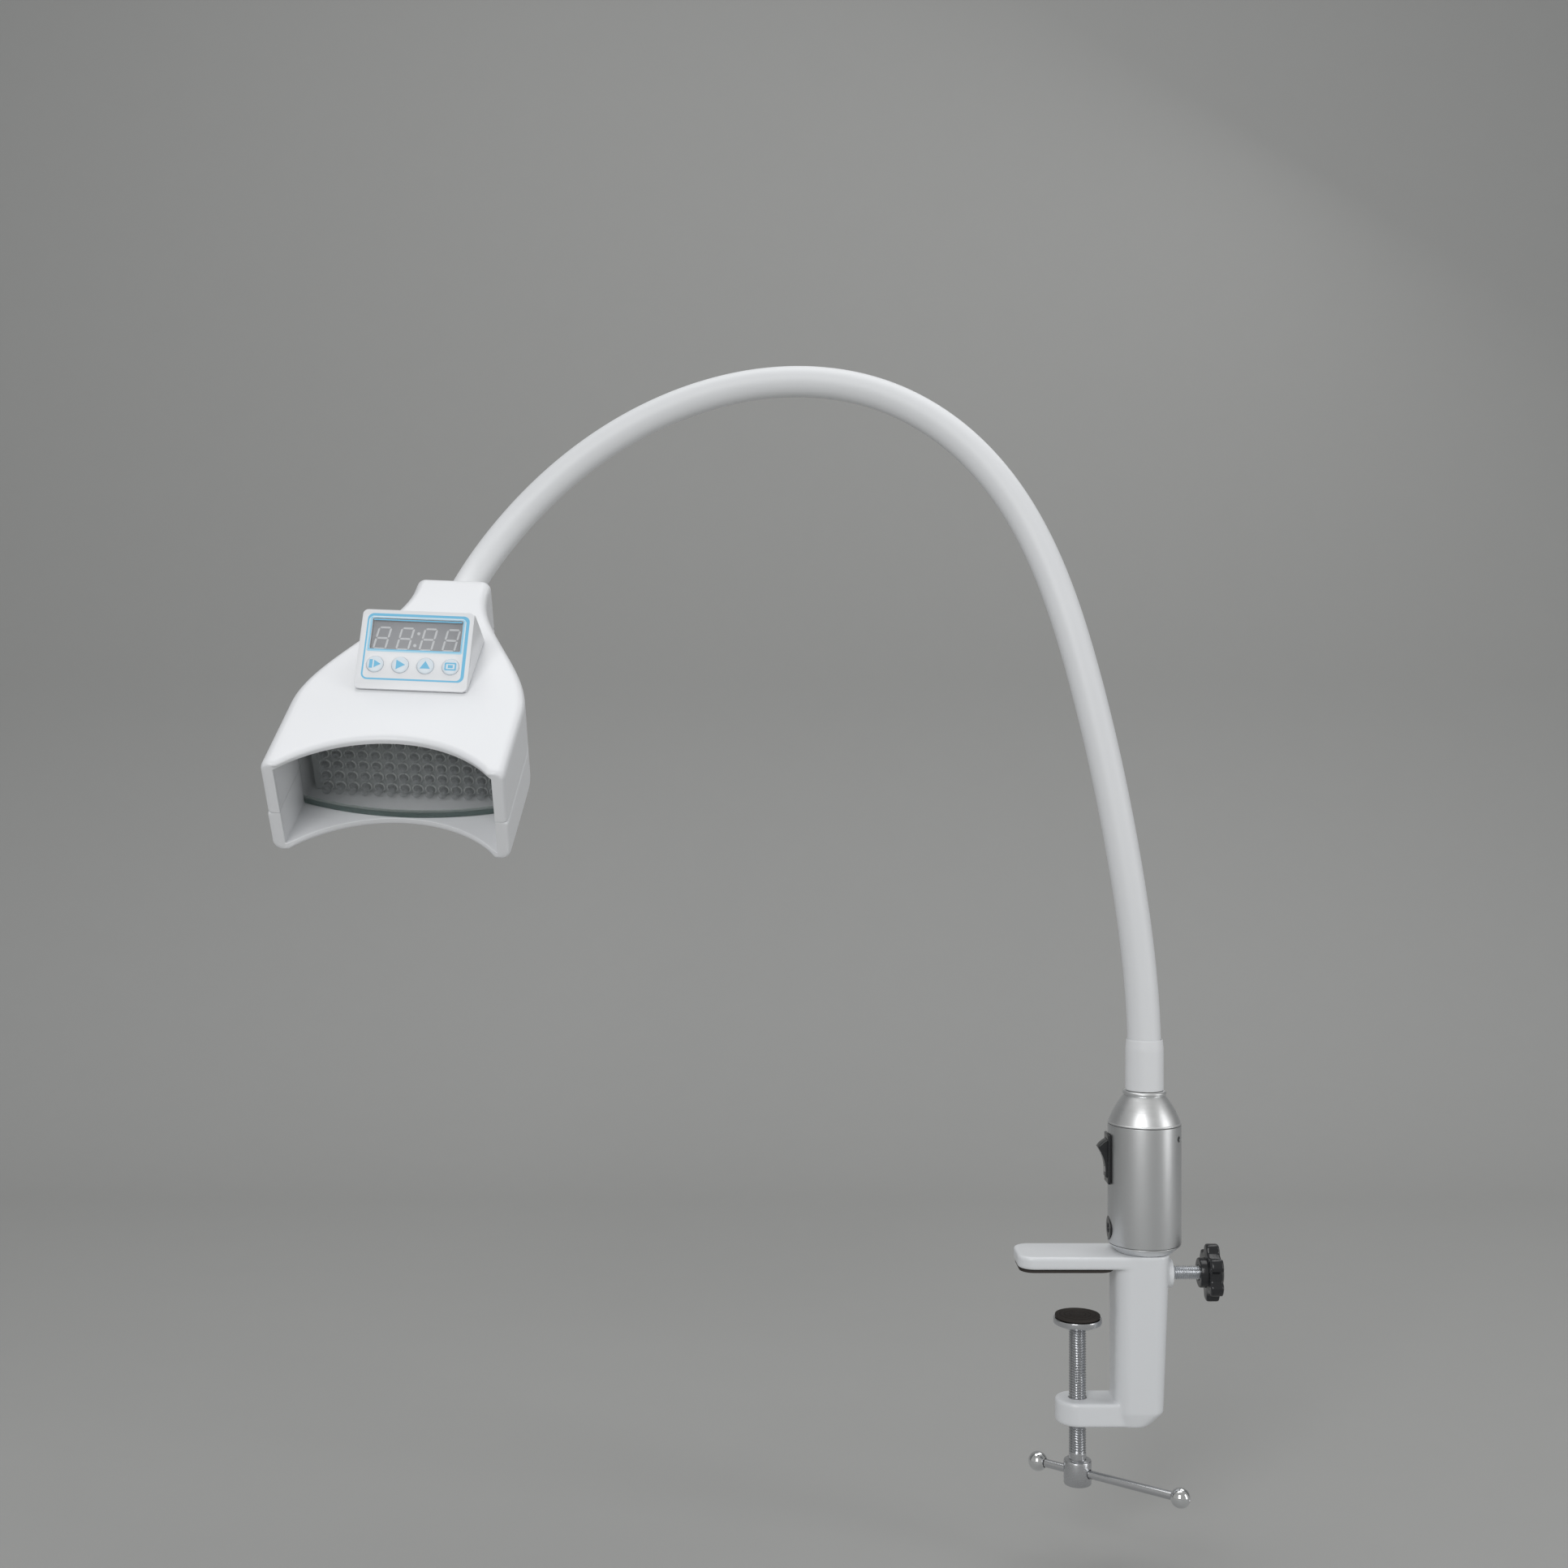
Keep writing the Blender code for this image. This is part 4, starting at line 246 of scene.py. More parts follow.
def tidy(piece):
    """Weld the doubles of a mesh and turn its faces outward."""
    form = bmesh.new()
    form.from_mesh(piece.data)
    bmesh.ops.remove_doubles(form, verts=form.verts, dist=WELD)
    bmesh.ops.recalc_face_normals(form, faces=form.faces)
    form.to_mesh(piece.data)
    form.free()
    return piece


def piece_from(name, points, faces, place=Matrix()):
    """A mesh object with its doubles welded and its faces outward."""
    mesh = bpy.data.meshes.new(name)
    mesh.from_pydata(moved(np.asarray(points, float).reshape(-1, 3), place), [], faces)
    return tidy(placed(name, mesh))


def baked(piece):
    """The piece with its modifiers applied and its place moved into its mesh."""
    bpy.context.view_layer.update()
    graph = bpy.context.evaluated_depsgraph_get()
    mesh = bpy.data.meshes.new_from_object(piece.evaluated_get(graph))
    mesh.transform(piece.matrix_world)
    name = piece.name
    bpy.data.objects.remove(piece, do_unlink=True)
    mesh.name = name
    return placed(name, mesh)


def combined(piece, *tools, operation="DIFFERENCE"):
    """Cut or join a piece with each tool in turn; the tools are used up."""
    for tool in tools:
        boolean = piece.modifiers.new(operation, "BOOLEAN")
        boolean.operation = operation
        boolean.solver = "EXACT"
        boolean.object = tool
        piece = tidy(baked(piece))
        bpy.data.objects.remove(tool, do_unlink=True)
    return piece


def merged(name, *pieces):
    """Several meshes as one object."""
    form = bmesh.new()
    for piece in pieces:
        form.from_mesh(piece.data)
        bpy.data.objects.remove(piece, do_unlink=True)
    mesh = bpy.data.meshes.new(name)
    form.to_mesh(mesh)
    form.free()
    return placed(name, mesh)


def bevelled(piece, width, segments=3, angle_deg=32):
    """Round the edges that are sharper than the angle."""
    edge = piece.modifiers.new("edges", "BEVEL")
    edge.width = width
    edge.segments = segments
    edge.limit_method = "ANGLE"
    edge.angle_limit = math.radians(angle_deg)
    return tidy(baked(piece))


def dress(piece, look, body, *nodes, angle_deg=34):
    """Shade, finish and hang a piece on a body of the CAD model, in place of its nodes."""
    material, slot = LOOKS[look]
    piece.data.materials.clear()
    piece.data.materials.append(material)
    piece.data.shade_smooth()
    piece.data.set_sharp_from_angle(angle=math.radians(angle_deg))
    if body:
        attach(piece, body)
    if nodes:
        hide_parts(*nodes)
    return piece


# %% Rounded profiles and turned pieces
def rounded(profile, reach, steps=4, closed=False):
    """Swap each corner of a profile for a short curve: a parabola that starts and ends within
    reach of the corner, and never past the middle of a side."""
    points = np.asarray(profile, float)
    if closed:
        points = np.vstack((points[-1:], points, points[:1]))
    here, back, forth = points[1:-1], points[:-2], points[2:]
    reach = np.broadcast_to(np.asarray(reach, float), len(here))

    def toward(other):
        """Where the curve at each corner starts or ends, on the way to its neighbour."""
        run = other - here
        length = np.linalg.norm(run, axis=1)
        return here + run * (np.minimum(reach, length * 0.49) / np.maximum(length, 1e-9))[:, None]

    t = np.linspace(0, 1, steps + 1)[None, :, None]
    start, end = toward(back)[:, None], toward(forth)[:, None]
    arcs = (start * (1 - t) ** 2 + here[:, None] * 2 * t * (1 - t) + end * t ** 2).reshape(-1, 2)
    return arcs if closed else np.vstack((points[:1], arcs, points[-1:]))


def turned(name, profile, place=Matrix(), sides=96, reach=0.0003, closed=False, steps=4):
    """A profile of radius and height carried round the Z axis: x = r cos a, y = r sin a."""
    radius, height = rounded(profile, reach, steps, closed).T[:, :, None]
    angle = np.linspace(0, 2 * np.pi, sides, endpoint=False)
    points = np.stack((radius * np.cos(angle), radius * np.sin(angle), height + 0 * angle), -1)
    faces = grid_faces(len(radius), sides, closed, True)
    return piece_from(name, points, faces, place)


def block(name, low, high, place=Matrix(), edge=0.0):
    """A box between two corners of a local frame, with rounded edges."""
    low, high = Vector(low), Vector(high)
    form = bmesh.new()
    bmesh.ops.create_cube(form, size=1)
    mesh = bpy.data.meshes.new(name)
    form.to_mesh(mesh)
    form.free()
    size = high - low
    mesh.transform(place @ Matrix.Translation((low + high) / 2) @ Matrix.Diagonal((*size, 1)))
    piece = placed(name, mesh)
    return bevelled(piece, edge) if edge else tidy(piece)


def outline(x_low, x_high, y_low, y_high, radius, steps=8):
    """A rectangle with round corners, anticlockwise, as an array of points."""
    quarter = np.linspace(0, np.pi / 2, steps + 1)
    centres = ((x_high - radius, y_high - radius), (x_low + radius, y_high - radius),
               (x_low + radius, y_low + radius), (x_high - radius, y_low + radius))
    corners = [np.stack((x + radius * np.cos(quarter + at * np.pi / 2),
                         y + radius * np.sin(quarter + at * np.pi / 2)), -1)
               for at, (x, y) in enumerate(centres)]
    return np.vstack(corners)


def circle(x, y, radius, steps=48):
    """Points round a centre, anticlockwise from its right."""
    angle = np.linspace(0, 2 * np.pi, steps, endpoint=False)
    return np.stack((x + radius * np.cos(angle), y + radius * np.sin(angle)), -1)


def plate(name, loops, low, high, place=Matrix(), edge=0.0):
    """A flat sheet between two heights, filled between nested outlines, with rounded rims."""
    flat = bpy.data.curves.new(name, "CURVE")
    flat.dimensions = "2D"
    flat.fill_mode = "BOTH"
    flat.extrude = (high - low) / 2 - edge
    flat.bevel_depth = edge
    flat.bevel_resolution = 2 if edge else 0
    flat.offset = -edge
    for points in loops:
        line = flat.splines.new("POLY")
        line.points.add(len(points) - 1)
        line.points.foreach_set("co", np.hstack((points, np.zeros((len(points), 1)),
                                                 np.ones((len(points), 1)))).ravel())
        line.use_cyclic_u = True
    piece = placed(name, flat)
    piece.matrix_world = place @ Matrix.Translation((0, 0, (low + high) / 2))
    return tidy(baked(piece))


def prism(name, points, low, high, place=Matrix(), edge=0.0):
    """A closed outline drawn out between two heights, with rounded edges."""
    count = len(points)
    flat = np.asarray(points, float)
    layers = [np.hstack((flat, np.full((count, 1), height))) for height in (low, high)]
    faces = grid_faces(2, count, False, True).tolist()
    faces += [list(range(count)), list(range(count, 2 * count))]
    piece = piece_from(name, np.stack(layers), faces, place)
    return bevelled(piece, edge) if edge else piece


# %% Plain profiles and frames
def solid(radius, low, high):
    """Profile of a plain bar between two heights."""
    return (0, low), (radius, low), (radius, high), (0, high)


def hollow(inner, outer, low, high):
    """Closed profile of a plain tube between two heights."""
    return (inner, low), (outer, low), (outer, high), (inner, high)


def facing(place, way):
    """A frame at a place with its Z axis along a way."""
    return Matrix.Translation(place) @ way.to_track_quat("Z", "Y").to_matrix().to_4x4()


Z_TO_X = Matrix.Rotation(math.pi / 2, 4, "Y")


# %% [markdown]
# ## Clamp casting
# The clamp is one painted casting: a flat tongue over the table, a tapering spine that also holds
# the post's spigot, a lower arm for the screw, and a round boss for the lock screw. A casting has
# soft edges and small fillets wherever two forms meet. Modelling each fillet would be slow, so the
# forms are laid over each other, remeshed into one skin of small voxels and relaxed. The bores are
# cut afterwards, because a machined hole has a crisp rim.

# %% Casting
CLAMP_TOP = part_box("clamp_body")[1].z
POST_X = (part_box("post_tube")[0].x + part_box("post_tube")[1].x) / 2
SCREW_X = (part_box("pressure_pad")[0].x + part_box("pressure_pad")[1].x) / 2
TONGUE_FOOT, SPINE_X, SCREW_RADIUS = 0.0017, 0.028, 0.005
SCREW_BORE = SCREW_RADIUS + 0.0003
ARM_TOP, ARM_FOOT, LOCK_Z = -0.076, -0.0895, -0.0039
BOSS_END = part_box("clamp_body")[1].x
SOFT_EDGE = 0.0013
PAST = 0.006  # how far a cutter runs past the surface it opens


def spine_form():
    """A rounded rectangle that shrinks in a straight line, and is drawn in at its foot."""
    heights = (CLAMP_TOP, ARM_FOOT + 0.008, ARM_FOOT + 0.0022, ARM_FOOT)
    lengths = (0.0313, 0.0282, 0.0228, 0.0202)
    halves = (0.017, 0.015, 0.0136, 0.0130)
    loops = [outline(SPINE_X, SPINE_X + length, -half, half, 0.0085, 10)
             for length, half in zip(lengths, halves)]
    sides = len(loops[0])
    rings = [np.hstack((loop, np.full((sides, 1), height))) for loop, height in zip(loops, heights)]
    faces = grid_faces(len(rings), sides, False, True).tolist()
    faces += [list(range(sides)), list(range(3 * sides, 4 * sides))]
    return piece_from("spine", np.stack(rings), faces)


def rod(name, radius, start, end, sides=64):
    """A plain round cutter between two points."""
    start, end = Vector(start), Vector(end)
    run = end - start
    return turned(name, solid(radius, 0, run.length), facing(start, run), sides, 0.00001, steps=1)


tongue = plate("tongue", [outline(-0.028, POST_X, -0.017, 0.017, 0.009, 12)],
               TONGUE_FOOT, CLAMP_TOP, edge=SOFT_EDGE)
arm = plate("arm", [outline(SCREW_X - 0.013, POST_X, -0.013, 0.013, 0.0127, 12)],
            ARM_FOOT, ARM_TOP, edge=SOFT_EDGE)
boss = turned("boss", solid(0.0085, 0, BOSS_END - POST_X),
              Matrix.Translation((POST_X, 0, LOCK_Z)) @ Z_TO_X, 64, 0.0012)
casting = merged("clamp_casting", tongue, arm, boss, bevelled(spine_form(), SOFT_EDGE, 3, 50))
remesh = casting.modifiers.new("skin", "REMESH")
remesh.mode = "VOXEL"
remesh.voxel_size = 0.00075
relax = casting.modifiers.new("fillets", "SMOOTH")
relax.factor = 0.5
relax.iterations = 7
casting = baked(casting)
screw_hole = rod("hole", SCREW_BORE, (SCREW_X, 0, ARM_FOOT - PAST), (SCREW_X, 0, ARM_TOP + PAST))
lock_hole = rod("hole", 0.0043, (POST_X, 0, LOCK_Z), (BOSS_END + PAST, 0, LOCK_Z))
socket = rod("hole", 0.0073, (POST_X, 0, CLAMP_TOP - 0.0396), (POST_X, 0, CLAMP_TOP + PAST))
casting = combined(casting, screw_hole, socket, lock_hole)
dress(casting, "white_paint", "clamp", "clamp_body", angle_deg=50)

# %% [markdown]
# A sheet of rubber under the tongue keeps the table from marks. It is a flat plate whose edge is
# drawn in a little from the tongue's, with a soft rim.

# %% Jaw pad
pad_low, pad_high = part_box("jaw_pad")
pad = plate("jaw_rubber", [outline(pad_low.x, pad_high.x, pad_low.y, pad_high.y, 0.008, 12)],
            pad_low.z, pad_high.z, edge=0.0004)
dress(pad, "black_rubber", "clamp", "jaw_pad")

# %% [markdown]
# ## Clamp screw, pressure pad and tommy bar
# The screw's thread is a helix: at any height the profile is the same triangle, turned a bit
# further. On a grid of height by angle, the radius only has to read the sum of the two. A screw
# modifier would need caps and trims at both ends; here the depth simply fades to nothing where
# the thread runs out into the plain head.

# %% Threads
def thread_radius(height, angle, outer, pitch, deep, start, end):
    """Outer radius less a rounded triangle wave of height/pitch + turn, faded at both ends."""
    phase = (height / pitch + angle / (2 * np.pi)) % 1.0
    groove = 0.5 - 0.5 * np.cos(2 * np.pi * phase)
    fade = np.clip((height - start) / pitch, 0, 1) * np.clip((end - height) / pitch, 0, 1)
    return outer - deep * groove * fade


def threaded(name, before, thread, after, outer, pitch, deep, place, sides=40, steps=8):
    """A turned bar with a thread in its middle: before and after are plain profiles."""
    start, end = thread
    heights = np.linspace(start, end, max(int(abs(end - start) / pitch * steps), 2))
    first, last = np.array(before), np.array(after)
    radius = np.concatenate((first[:, 0], np.full(len(heights), outer), last[:, 0]))
    height = np.concatenate((first[:, 1], heights, last[:, 1]))[:, None]
    angle = np.linspace(0, 2 * np.pi, sides, endpoint=False)
    cut = np.zeros((len(height), sides))
    rows = slice(len(before), len(before) + len(heights))
    low, high = min(start, end), max(start, end)
    cut[rows] = outer - thread_radius(heights[:, None], angle[None], outer, pitch, deep, low, high)
    reach = radius[:, None] - cut
    points = np.stack((reach * np.cos(angle), reach * np.sin(angle), height + 0 * angle), -1)
    return piece_from(name, points, grid_faces(len(height), sides, False, True), place)


SCREW_HEAD, SCREW_PITCH, SCREW_GROOVE = 0.014, 0.0015, 0.00085
screw_low, screw_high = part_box("clamp_screw")
head_top, head_foot = screw_low.z + SCREW_HEAD, screw_low.z
at_screw = Matrix.Translation((SCREW_X, 0, 0))
before = [(0, screw_high.z), (0.0038, screw_high.z), (0.0040, screw_high.z - 0.0001)]
after = [(0.0050, head_top + 0.0004), (0.0054, head_top + 0.0001), (0.0074, head_top),
         (0.0078, head_top - 0.0002), (0.0080, head_top - 0.0006), (0.0080, head_foot + 0.0006),
         (0.0078, head_foot + 0.0002), (0.0074, head_foot), (0.004, head_foot), (0, head_foot)]
clamp_screw = threaded("clamp_screw_threaded", before, (screw_high.z - 0.001, head_top + 0.004),
                       after, SCREW_RADIUS, SCREW_PITCH, SCREW_GROOVE, at_screw, 44)
BAR_TURN = math.radians(-37.2)
bar_way = Vector((math.cos(BAR_TURN), math.sin(BAR_TURN), 0))
bar_centre = Vector((SCREW_X, 0, (head_top + head_foot) / 2))
cross_hole = rod("hole", 0.0027, bar_centre - bar_way * 0.014, bar_centre + bar_way * 0.014, 40)
clamp_screw = combined(clamp_screw, cross_hole)
dress(clamp_screw, "steel", "clamp_screw", "clamp_screw", angle_deg=40)

# %% [markdown]
# The pressure pad is a turned steel cup on the screw's end with a rubber face. The tommy bar
# slides through the screw's head, and a chrome ball at each end keeps it in. Each ball is turned
# about the bar's axis: its far pole has the small dimple left by the drill.

# %% Pad, bar and balls
press_low, press_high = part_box("pressure_pad")
press_radius = (press_high.x - press_low.x) / 2
foot, top = press_low.z, press_high.z
cup = turned("pressure_cup",
             ((0, top), (press_radius, top), (press_radius, (top + foot) / 2),
              (0.0098, foot + 0.0012), (SCREW_BORE + 0.002, foot), (SCREW_BORE, foot),
              (SCREW_BORE, foot + 0.004), (0, foot + 0.004)), at_screw, 96, 0.0006)
dress(cup, "steel_bar", "pressure_pad", "pressure_pad")
face_low, face_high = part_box("press_rubber")
face_radius = (face_high.x - face_low.x) / 2
ridges = [(face_radius * share, face_high.z - drop) for share, drop in
          ((0.90, 0), (0.84, 0), (0.80, 0.0004), (0.76, 0), (0.62, 0), (0.58, 0.0004),
           (0.54, 0), (0.40, 0), (0.36, 0.0004), (0.32, 0))]
rubber = turned("pressure_rubber",
                [(0, face_low.z), (face_radius, face_low.z), (face_radius, face_high.z),
                 *ridges, (0, face_high.z)], at_screw, 96, 0.0003)
dress(rubber, "black_rubber", "pressure_pad", "press_rubber")

BALL_RADIUS, BAR_RADIUS, BAR_SPAN = 0.00565, 0.0024, (-0.00095, 0.09095)
BAR_REACH, BAR_LENGTH = 0.064, 0.090
bar_far = bar_centre + bar_way * BAR_REACH
bar_near = bar_far - bar_way * BAR_LENGTH
bar = turned("tommy_rod", solid(BAR_RADIUS, *BAR_SPAN), facing(bar_near, bar_way), 48, 0.0005)
dress(bar, "steel_bar", "tommy_bar", "tommy_bar")


def ball_profile():
    """A half circle of radius and height, open at the bar's hole and dimpled at its far pole."""
    angle = np.radians(np.linspace(28.5, 173, 30))
    rim = np.stack((BALL_RADIUS * np.sin(angle), -BALL_RADIUS * np.cos(angle)), -1)
    hole = ((0, 0.00135), (0.0027, 0.00135))
    dimple = ((0.0005, BALL_RADIUS - 0.0003), (0, BALL_RADIUS - 0.0004))
    return [*hole, *rim.tolist(), *dimple]


for side, centre, outward in (("left", bar_near, -bar_way), ("right", bar_far, bar_way)):
    ball = turned(f"chrome_ball_{side}", ball_profile(), facing(centre, outward), 56, 0.0001,
                  steps=1)
    dress(ball, "chrome", "tommy_bar", f"tommy_ball_{side}")
print("tommy bar from", [round(v, 4) for v in bar_near], "to", [round(v, 4) for v in bar_far])

# %% [markdown]
# ## Lock screw and star knob
# A zinc-plated stud screws into the casting's boss and presses a nylon tip on the post's spigot.
# Its knob is a moulded six-lobed star with a hub and a low dome. A star is easiest on polar
# coordinates: each ring of the grid blends from a circle to the star's outline, so hub, star and
# dome are one surface.

# %% Lock screw
along_x = Matrix.Translation((0, 0, LOCK_Z)) @ Z_TO_X
stud_low, stud_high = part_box("lock_stud")
stud = threaded("lock_stud_threaded",
                [(0, stud_low.x), (0.0026, stud_low.x), (0.0031, stud_low.x + 0.0003)],
                (stud_low.x + 0.001, stud_high.x - 0.0008),
                [(0.0036, stud_high.x - 0.0003), (0.003, stud_high.x), (0, stud_high.x)],
                0.004, 0.00125, 0.0007, along_x, 40, 9)
dress(stud, "zinc", "lock_screw", "lock_stud", angle_deg=60)
tip_low, tip_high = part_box("lock_tip")
tip = turned("lock_nylon", solid(0.0039, tip_low.x, tip_high.x), along_x, 48, 0.0004)
dress(tip, "nylon", "lock_tip", "lock_tip")

knob_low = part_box("lock_knob")[0]
HUB, STAR, DOME = knob_low.x, knob_low.x + 0.004, knob_low.x + 0.0115


def star_radius(angle):
    """A middle radius and six flat-topped waves."""
    return 0.0146 + 0.0019 * np.tanh(2 * np.cos(6 * angle)) / np.tanh(2)


def knob_surface():
    """Rings of the knob: circle radius, share of the star's outline, and place along X."""
    rings = [(0, 0, HUB + 0.0078), (0.0043, 0, HUB + 0.0078), (0.0043, 0, HUB + 0.0004),
             (0.0047, 0, HUB), (0.0068, 0, HUB), (0.0079, 0, HUB), (0.0083, 0, HUB + 0.0002),
             (0.0085, 0, HUB + 0.0006), (0.0085, 0, STAR - 0.0008), (0.0086, 0, STAR - 0.0002),
             (0.0090, 0, STAR)]
    for inset, x in ((0.0030, 0), (0.0014, 0), (0.0007, 0.0002), (0.0002, 0.0006), (0, 0.0013),
                     (0, 0.0030), (0, 0.0048), (0, 0.0062), (0.0002, 0.0069), (0.0007, 0.0073),
                     (0.0014, 0.0075), (0.0024, 0.0075)):
        rings.append((-inset, 1, STAR + x))
    rings += [(0.00995, 0, DOME), (0.0099, 0, DOME - 0.0004), (0.0097, 0, DOME - 0.0004),
              (0.0095, 0, DOME + 0.0003), (0.0085, 0, DOME + 0.0011), (0.0065, 0, DOME + 0.0019),
              (0.0040, 0, DOME + 0.0024), (0.0018, 0, DOME + 0.0026), (0, 0, DOME + 0.0027)]
    base, share, x = np.array(rings).T[:, :, None]
    angle = np.linspace(0, 2 * np.pi, 180, endpoint=False)
    radius = base + share * star_radius(angle)
    return np.stack((radius * np.cos(angle), radius * np.sin(angle), x + 0 * angle), -1)


surface = knob_surface()
knob = piece_from("star_knob", surface, grid_faces(*surface.shape[:2], False, True), along_x)
dress(knob, "black_plastic", "lock_screw", "lock_knob", angle_deg=45)

# %% [markdown]
# ## Post
# The post is turned from aluminium: a base ring with a chamfer, a plain tube, and a cone that
# closes it and carries the gooseneck. Turning leaves fine rings on the cone, and a thin bright
# land where cone and tube meet. The tube's openings for the switch, the jack and the set screw
# are cut with Booleans, as they are in the CAD model.

# %% Base ring, tube and cone
at_post = Matrix.Translation((POST_X, 0, 0))
base_low, base_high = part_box("post_base")
tube_low, tube_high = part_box("post_tube")
cone_low, cone_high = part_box("post_cone")
TUBE_RADIUS = (tube_high.x - tube_low.x) / 2
SHOULDER = tube_low.z - 0.0003
PLUG_RADIUS = 0.0182
base_ring = turned("base_ring",
                   ((0.0043, base_low.z), (TUBE_RADIUS - 0.0045, base_low.z),
                    (TUBE_RADIUS - 0.0002, SHOULDER - 0.0004), (TUBE_RADIUS - 0.0002, SHOULDER),
                    (PLUG_RADIUS, SHOULDER), (PLUG_RADIUS, base_high.z), (0.009, base_high.z),
                    (0.009, base_high.z - 0.002), (0.0043, base_high.z - 0.002)),
                   at_post, 128, 0.0002, closed=True)
dress(base_ring, "turned_aluminium", "post", "post_base")

SWITCH_Z = tube_high.z - 0.0199
JACK_Z = tube_low.z + 0.0080
LEFT = tube_low.x
tube = turned("post_tube_satin", hollow(TUBE_RADIUS - 0.0025, TUBE_RADIUS, tube_low.z, tube_high.z),
              at_post, 160, 0.0003, closed=True)
flat = block("flat", (LEFT - PAST, -0.0068, SWITCH_Z - 0.01455),
             (LEFT + 0.0007, 0.0068, SWITCH_Z + 0.01455))
hole = block("hole", (LEFT - PAST, -0.0055, SWITCH_Z - 0.01325),
             (POST_X, 0.0055, SWITCH_Z + 0.01325))
recess = rod("recess", 0.0069, (LEFT - PAST, 0, JACK_Z), (LEFT + 0.0014, 0, JACK_Z))
jack_hole = rod("hole", 0.0043, (LEFT - PAST, 0, JACK_Z), (POST_X, 0, JACK_Z))
SET_TURN = math.radians(56)
set_way = Vector((math.sin(SET_TURN), -math.cos(SET_TURN), 0))
set_centre = Vector((POST_X, 0, tube_high.z - 0.007))


def set_bore():
    """The grub screw's hole, which tube and cone share."""
    return rod("hole", 0.0018, set_centre, set_centre + set_way * 0.027, 40)


tube = combined(tube, flat, hole, recess, jack_hole, set_bore())
dress(tube, "satin_aluminium", "post", "post_tube")

# The cone's flank narrows faster as it rises, by 0.56 of the rise and 0.44 of its square.
LAND, BEAD_FOOT = cone_low.z + 0.0145, cone_high.z - 0.0024
FLANK_TOP, FLANK_STEP = 0.01175, 0.0004
flank_rise = np.linspace(0, 1, 14)
flank_share = 0.56 * flank_rise + 0.44 * flank_rise ** 2
flank_radius = TUBE_RADIUS - FLANK_STEP + (FLANK_TOP - TUBE_RADIUS + FLANK_STEP) * flank_share
flank = np.stack((flank_radius, LAND + (BEAD_FOOT - LAND) * flank_rise), -1).tolist()
cone_profile = [(0.0155, cone_low.z), (PLUG_RADIUS, cone_low.z), (PLUG_RADIUS, LAND - 0.001),
                (TUBE_RADIUS, LAND - 0.001), (TUBE_RADIUS, LAND - 0.0002), *flank,
                (0.0118, BEAD_FOOT + 0.0001), (0.0125, BEAD_FOOT + 0.0007),
                (0.0125, cone_high.z - 0.0007), (0.0118, cone_high.z), (0.0065, cone_high.z),
                (0.0065, cone_high.z - 0.0033), (0.0100, cone_high.z - 0.0033), (0.0155, LAND)]
cone = turned("post_cone_turned", cone_profile, at_post, 144, 0.00025, closed=True, steps=3)
notch = block("notch", (LEFT - PAST, -0.0066, cone_low.z - PAST),
              (POST_X, 0.0066, SWITCH_Z + 0.0146))
cone = combined(cone, notch, set_bore())
dress(cone, "turned_aluminium", "post", "post_cone")
print("post radius", round(TUBE_RADIUS, 4),
      "cone from", round(LAND, 4), "to", round(cone_high.z, 4))

# %% [markdown]
# A grub screw holds the cone in the tube. It is a short black pin with a hexagon socket, so only
# its face shows in the hole.

# %% Set screw
set_place = facing(set_centre + set_way * (TUBE_RADIUS - 0.0051), set_way)
grub = turned("grub_screw", solid(0.0015, 0, 0.0046), set_place, 40, 0.0002)
grub = combined(grub, plate("hex", [circle(0, 0, 0.0009, 6)], 0.003, PAST, set_place))
dress(grub, "black_plastic", "post", "set_screw")

# %% [markdown]
# ## Rocker switch and low-voltage jack
# The rocker stands out at its upper end, so its face is the concave saddle that a thumb knows:
# lowest at the pivot and rising towards both tips. Its side outline is a curve of the height to
# the power 1.8, carried straight across the width. The frame round it is a thin black flange.

# %% Switch frame and rocker
frame_low, frame_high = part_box("switch_housing")
flange = block("switch_frame", (frame_low.x, frame_low.y, frame_low.z),
               (frame_low.x + 0.0015, frame_high.y, frame_high.z), edge=0.0004)
shell = block("shell", (frame_low.x + 0.0006, -0.0052, SWITCH_Z - 0.01295),
              (frame_high.x, 0.0052, SWITCH_Z + 0.01295))
pivot = Vector((frame_low.x + 0.0049, 0, SWITCH_Z))
well = rod("well", 0.0123, pivot - Vector((0, 0.0043, 0)), pivot + Vector((0, 0.0043, 0)), 96)
housing = combined(combined(flange, shell, operation="UNION"), well)
dress(housing, "black_plastic", "post", "switch_housing")

ROCKER_RADIUS, SADDLE, POWER, TIP_TURN = 0.012, 0.0066, 1.8, math.radians(46.5)


def saddle(height, span):
    """Out of the pivot: the saddle's depth plus a share of the span to the power 1.8."""
    rise = ROCKER_RADIUS * math.cos(TIP_TURN) - SADDLE
    return SADDLE + rise * np.abs(height / span) ** POWER


def rocker_outline():
    """Out of the tube by height: the saddle between the tips, then an arc about the pivot."""
    tip_height = ROCKER_RADIUS * math.sin(TIP_TURN)
    high = np.linspace(-tip_height, tip_height, 25)
    upper = np.linspace(TIP_TURN, math.radians(112), 12)[1:]
    arc = np.stack((ROCKER_RADIUS * np.cos(upper), ROCKER_RADIUS * np.sin(upper)), -1)
    return np.vstack((np.stack((saddle(high, high[-1]), high), -1), arc, (arc * (1, -1))[::-1]))


rocker_axes = Matrix(((-1, 0, 0, pivot.x), (0, 0, 1, 0), (0, 1, 0, pivot.z), (0, 0, 0, 1)))
rocker_place = rocker_axes @ Matrix.Rotation(math.radians(-14), 4, "Z")
rocker = plate("rocker_cap", [rocker_outline()], -0.0040, 0.0040, rocker_place, edge=0.0004)
dress(rocker, "black_plastic", "rocker", "switch_rocker")

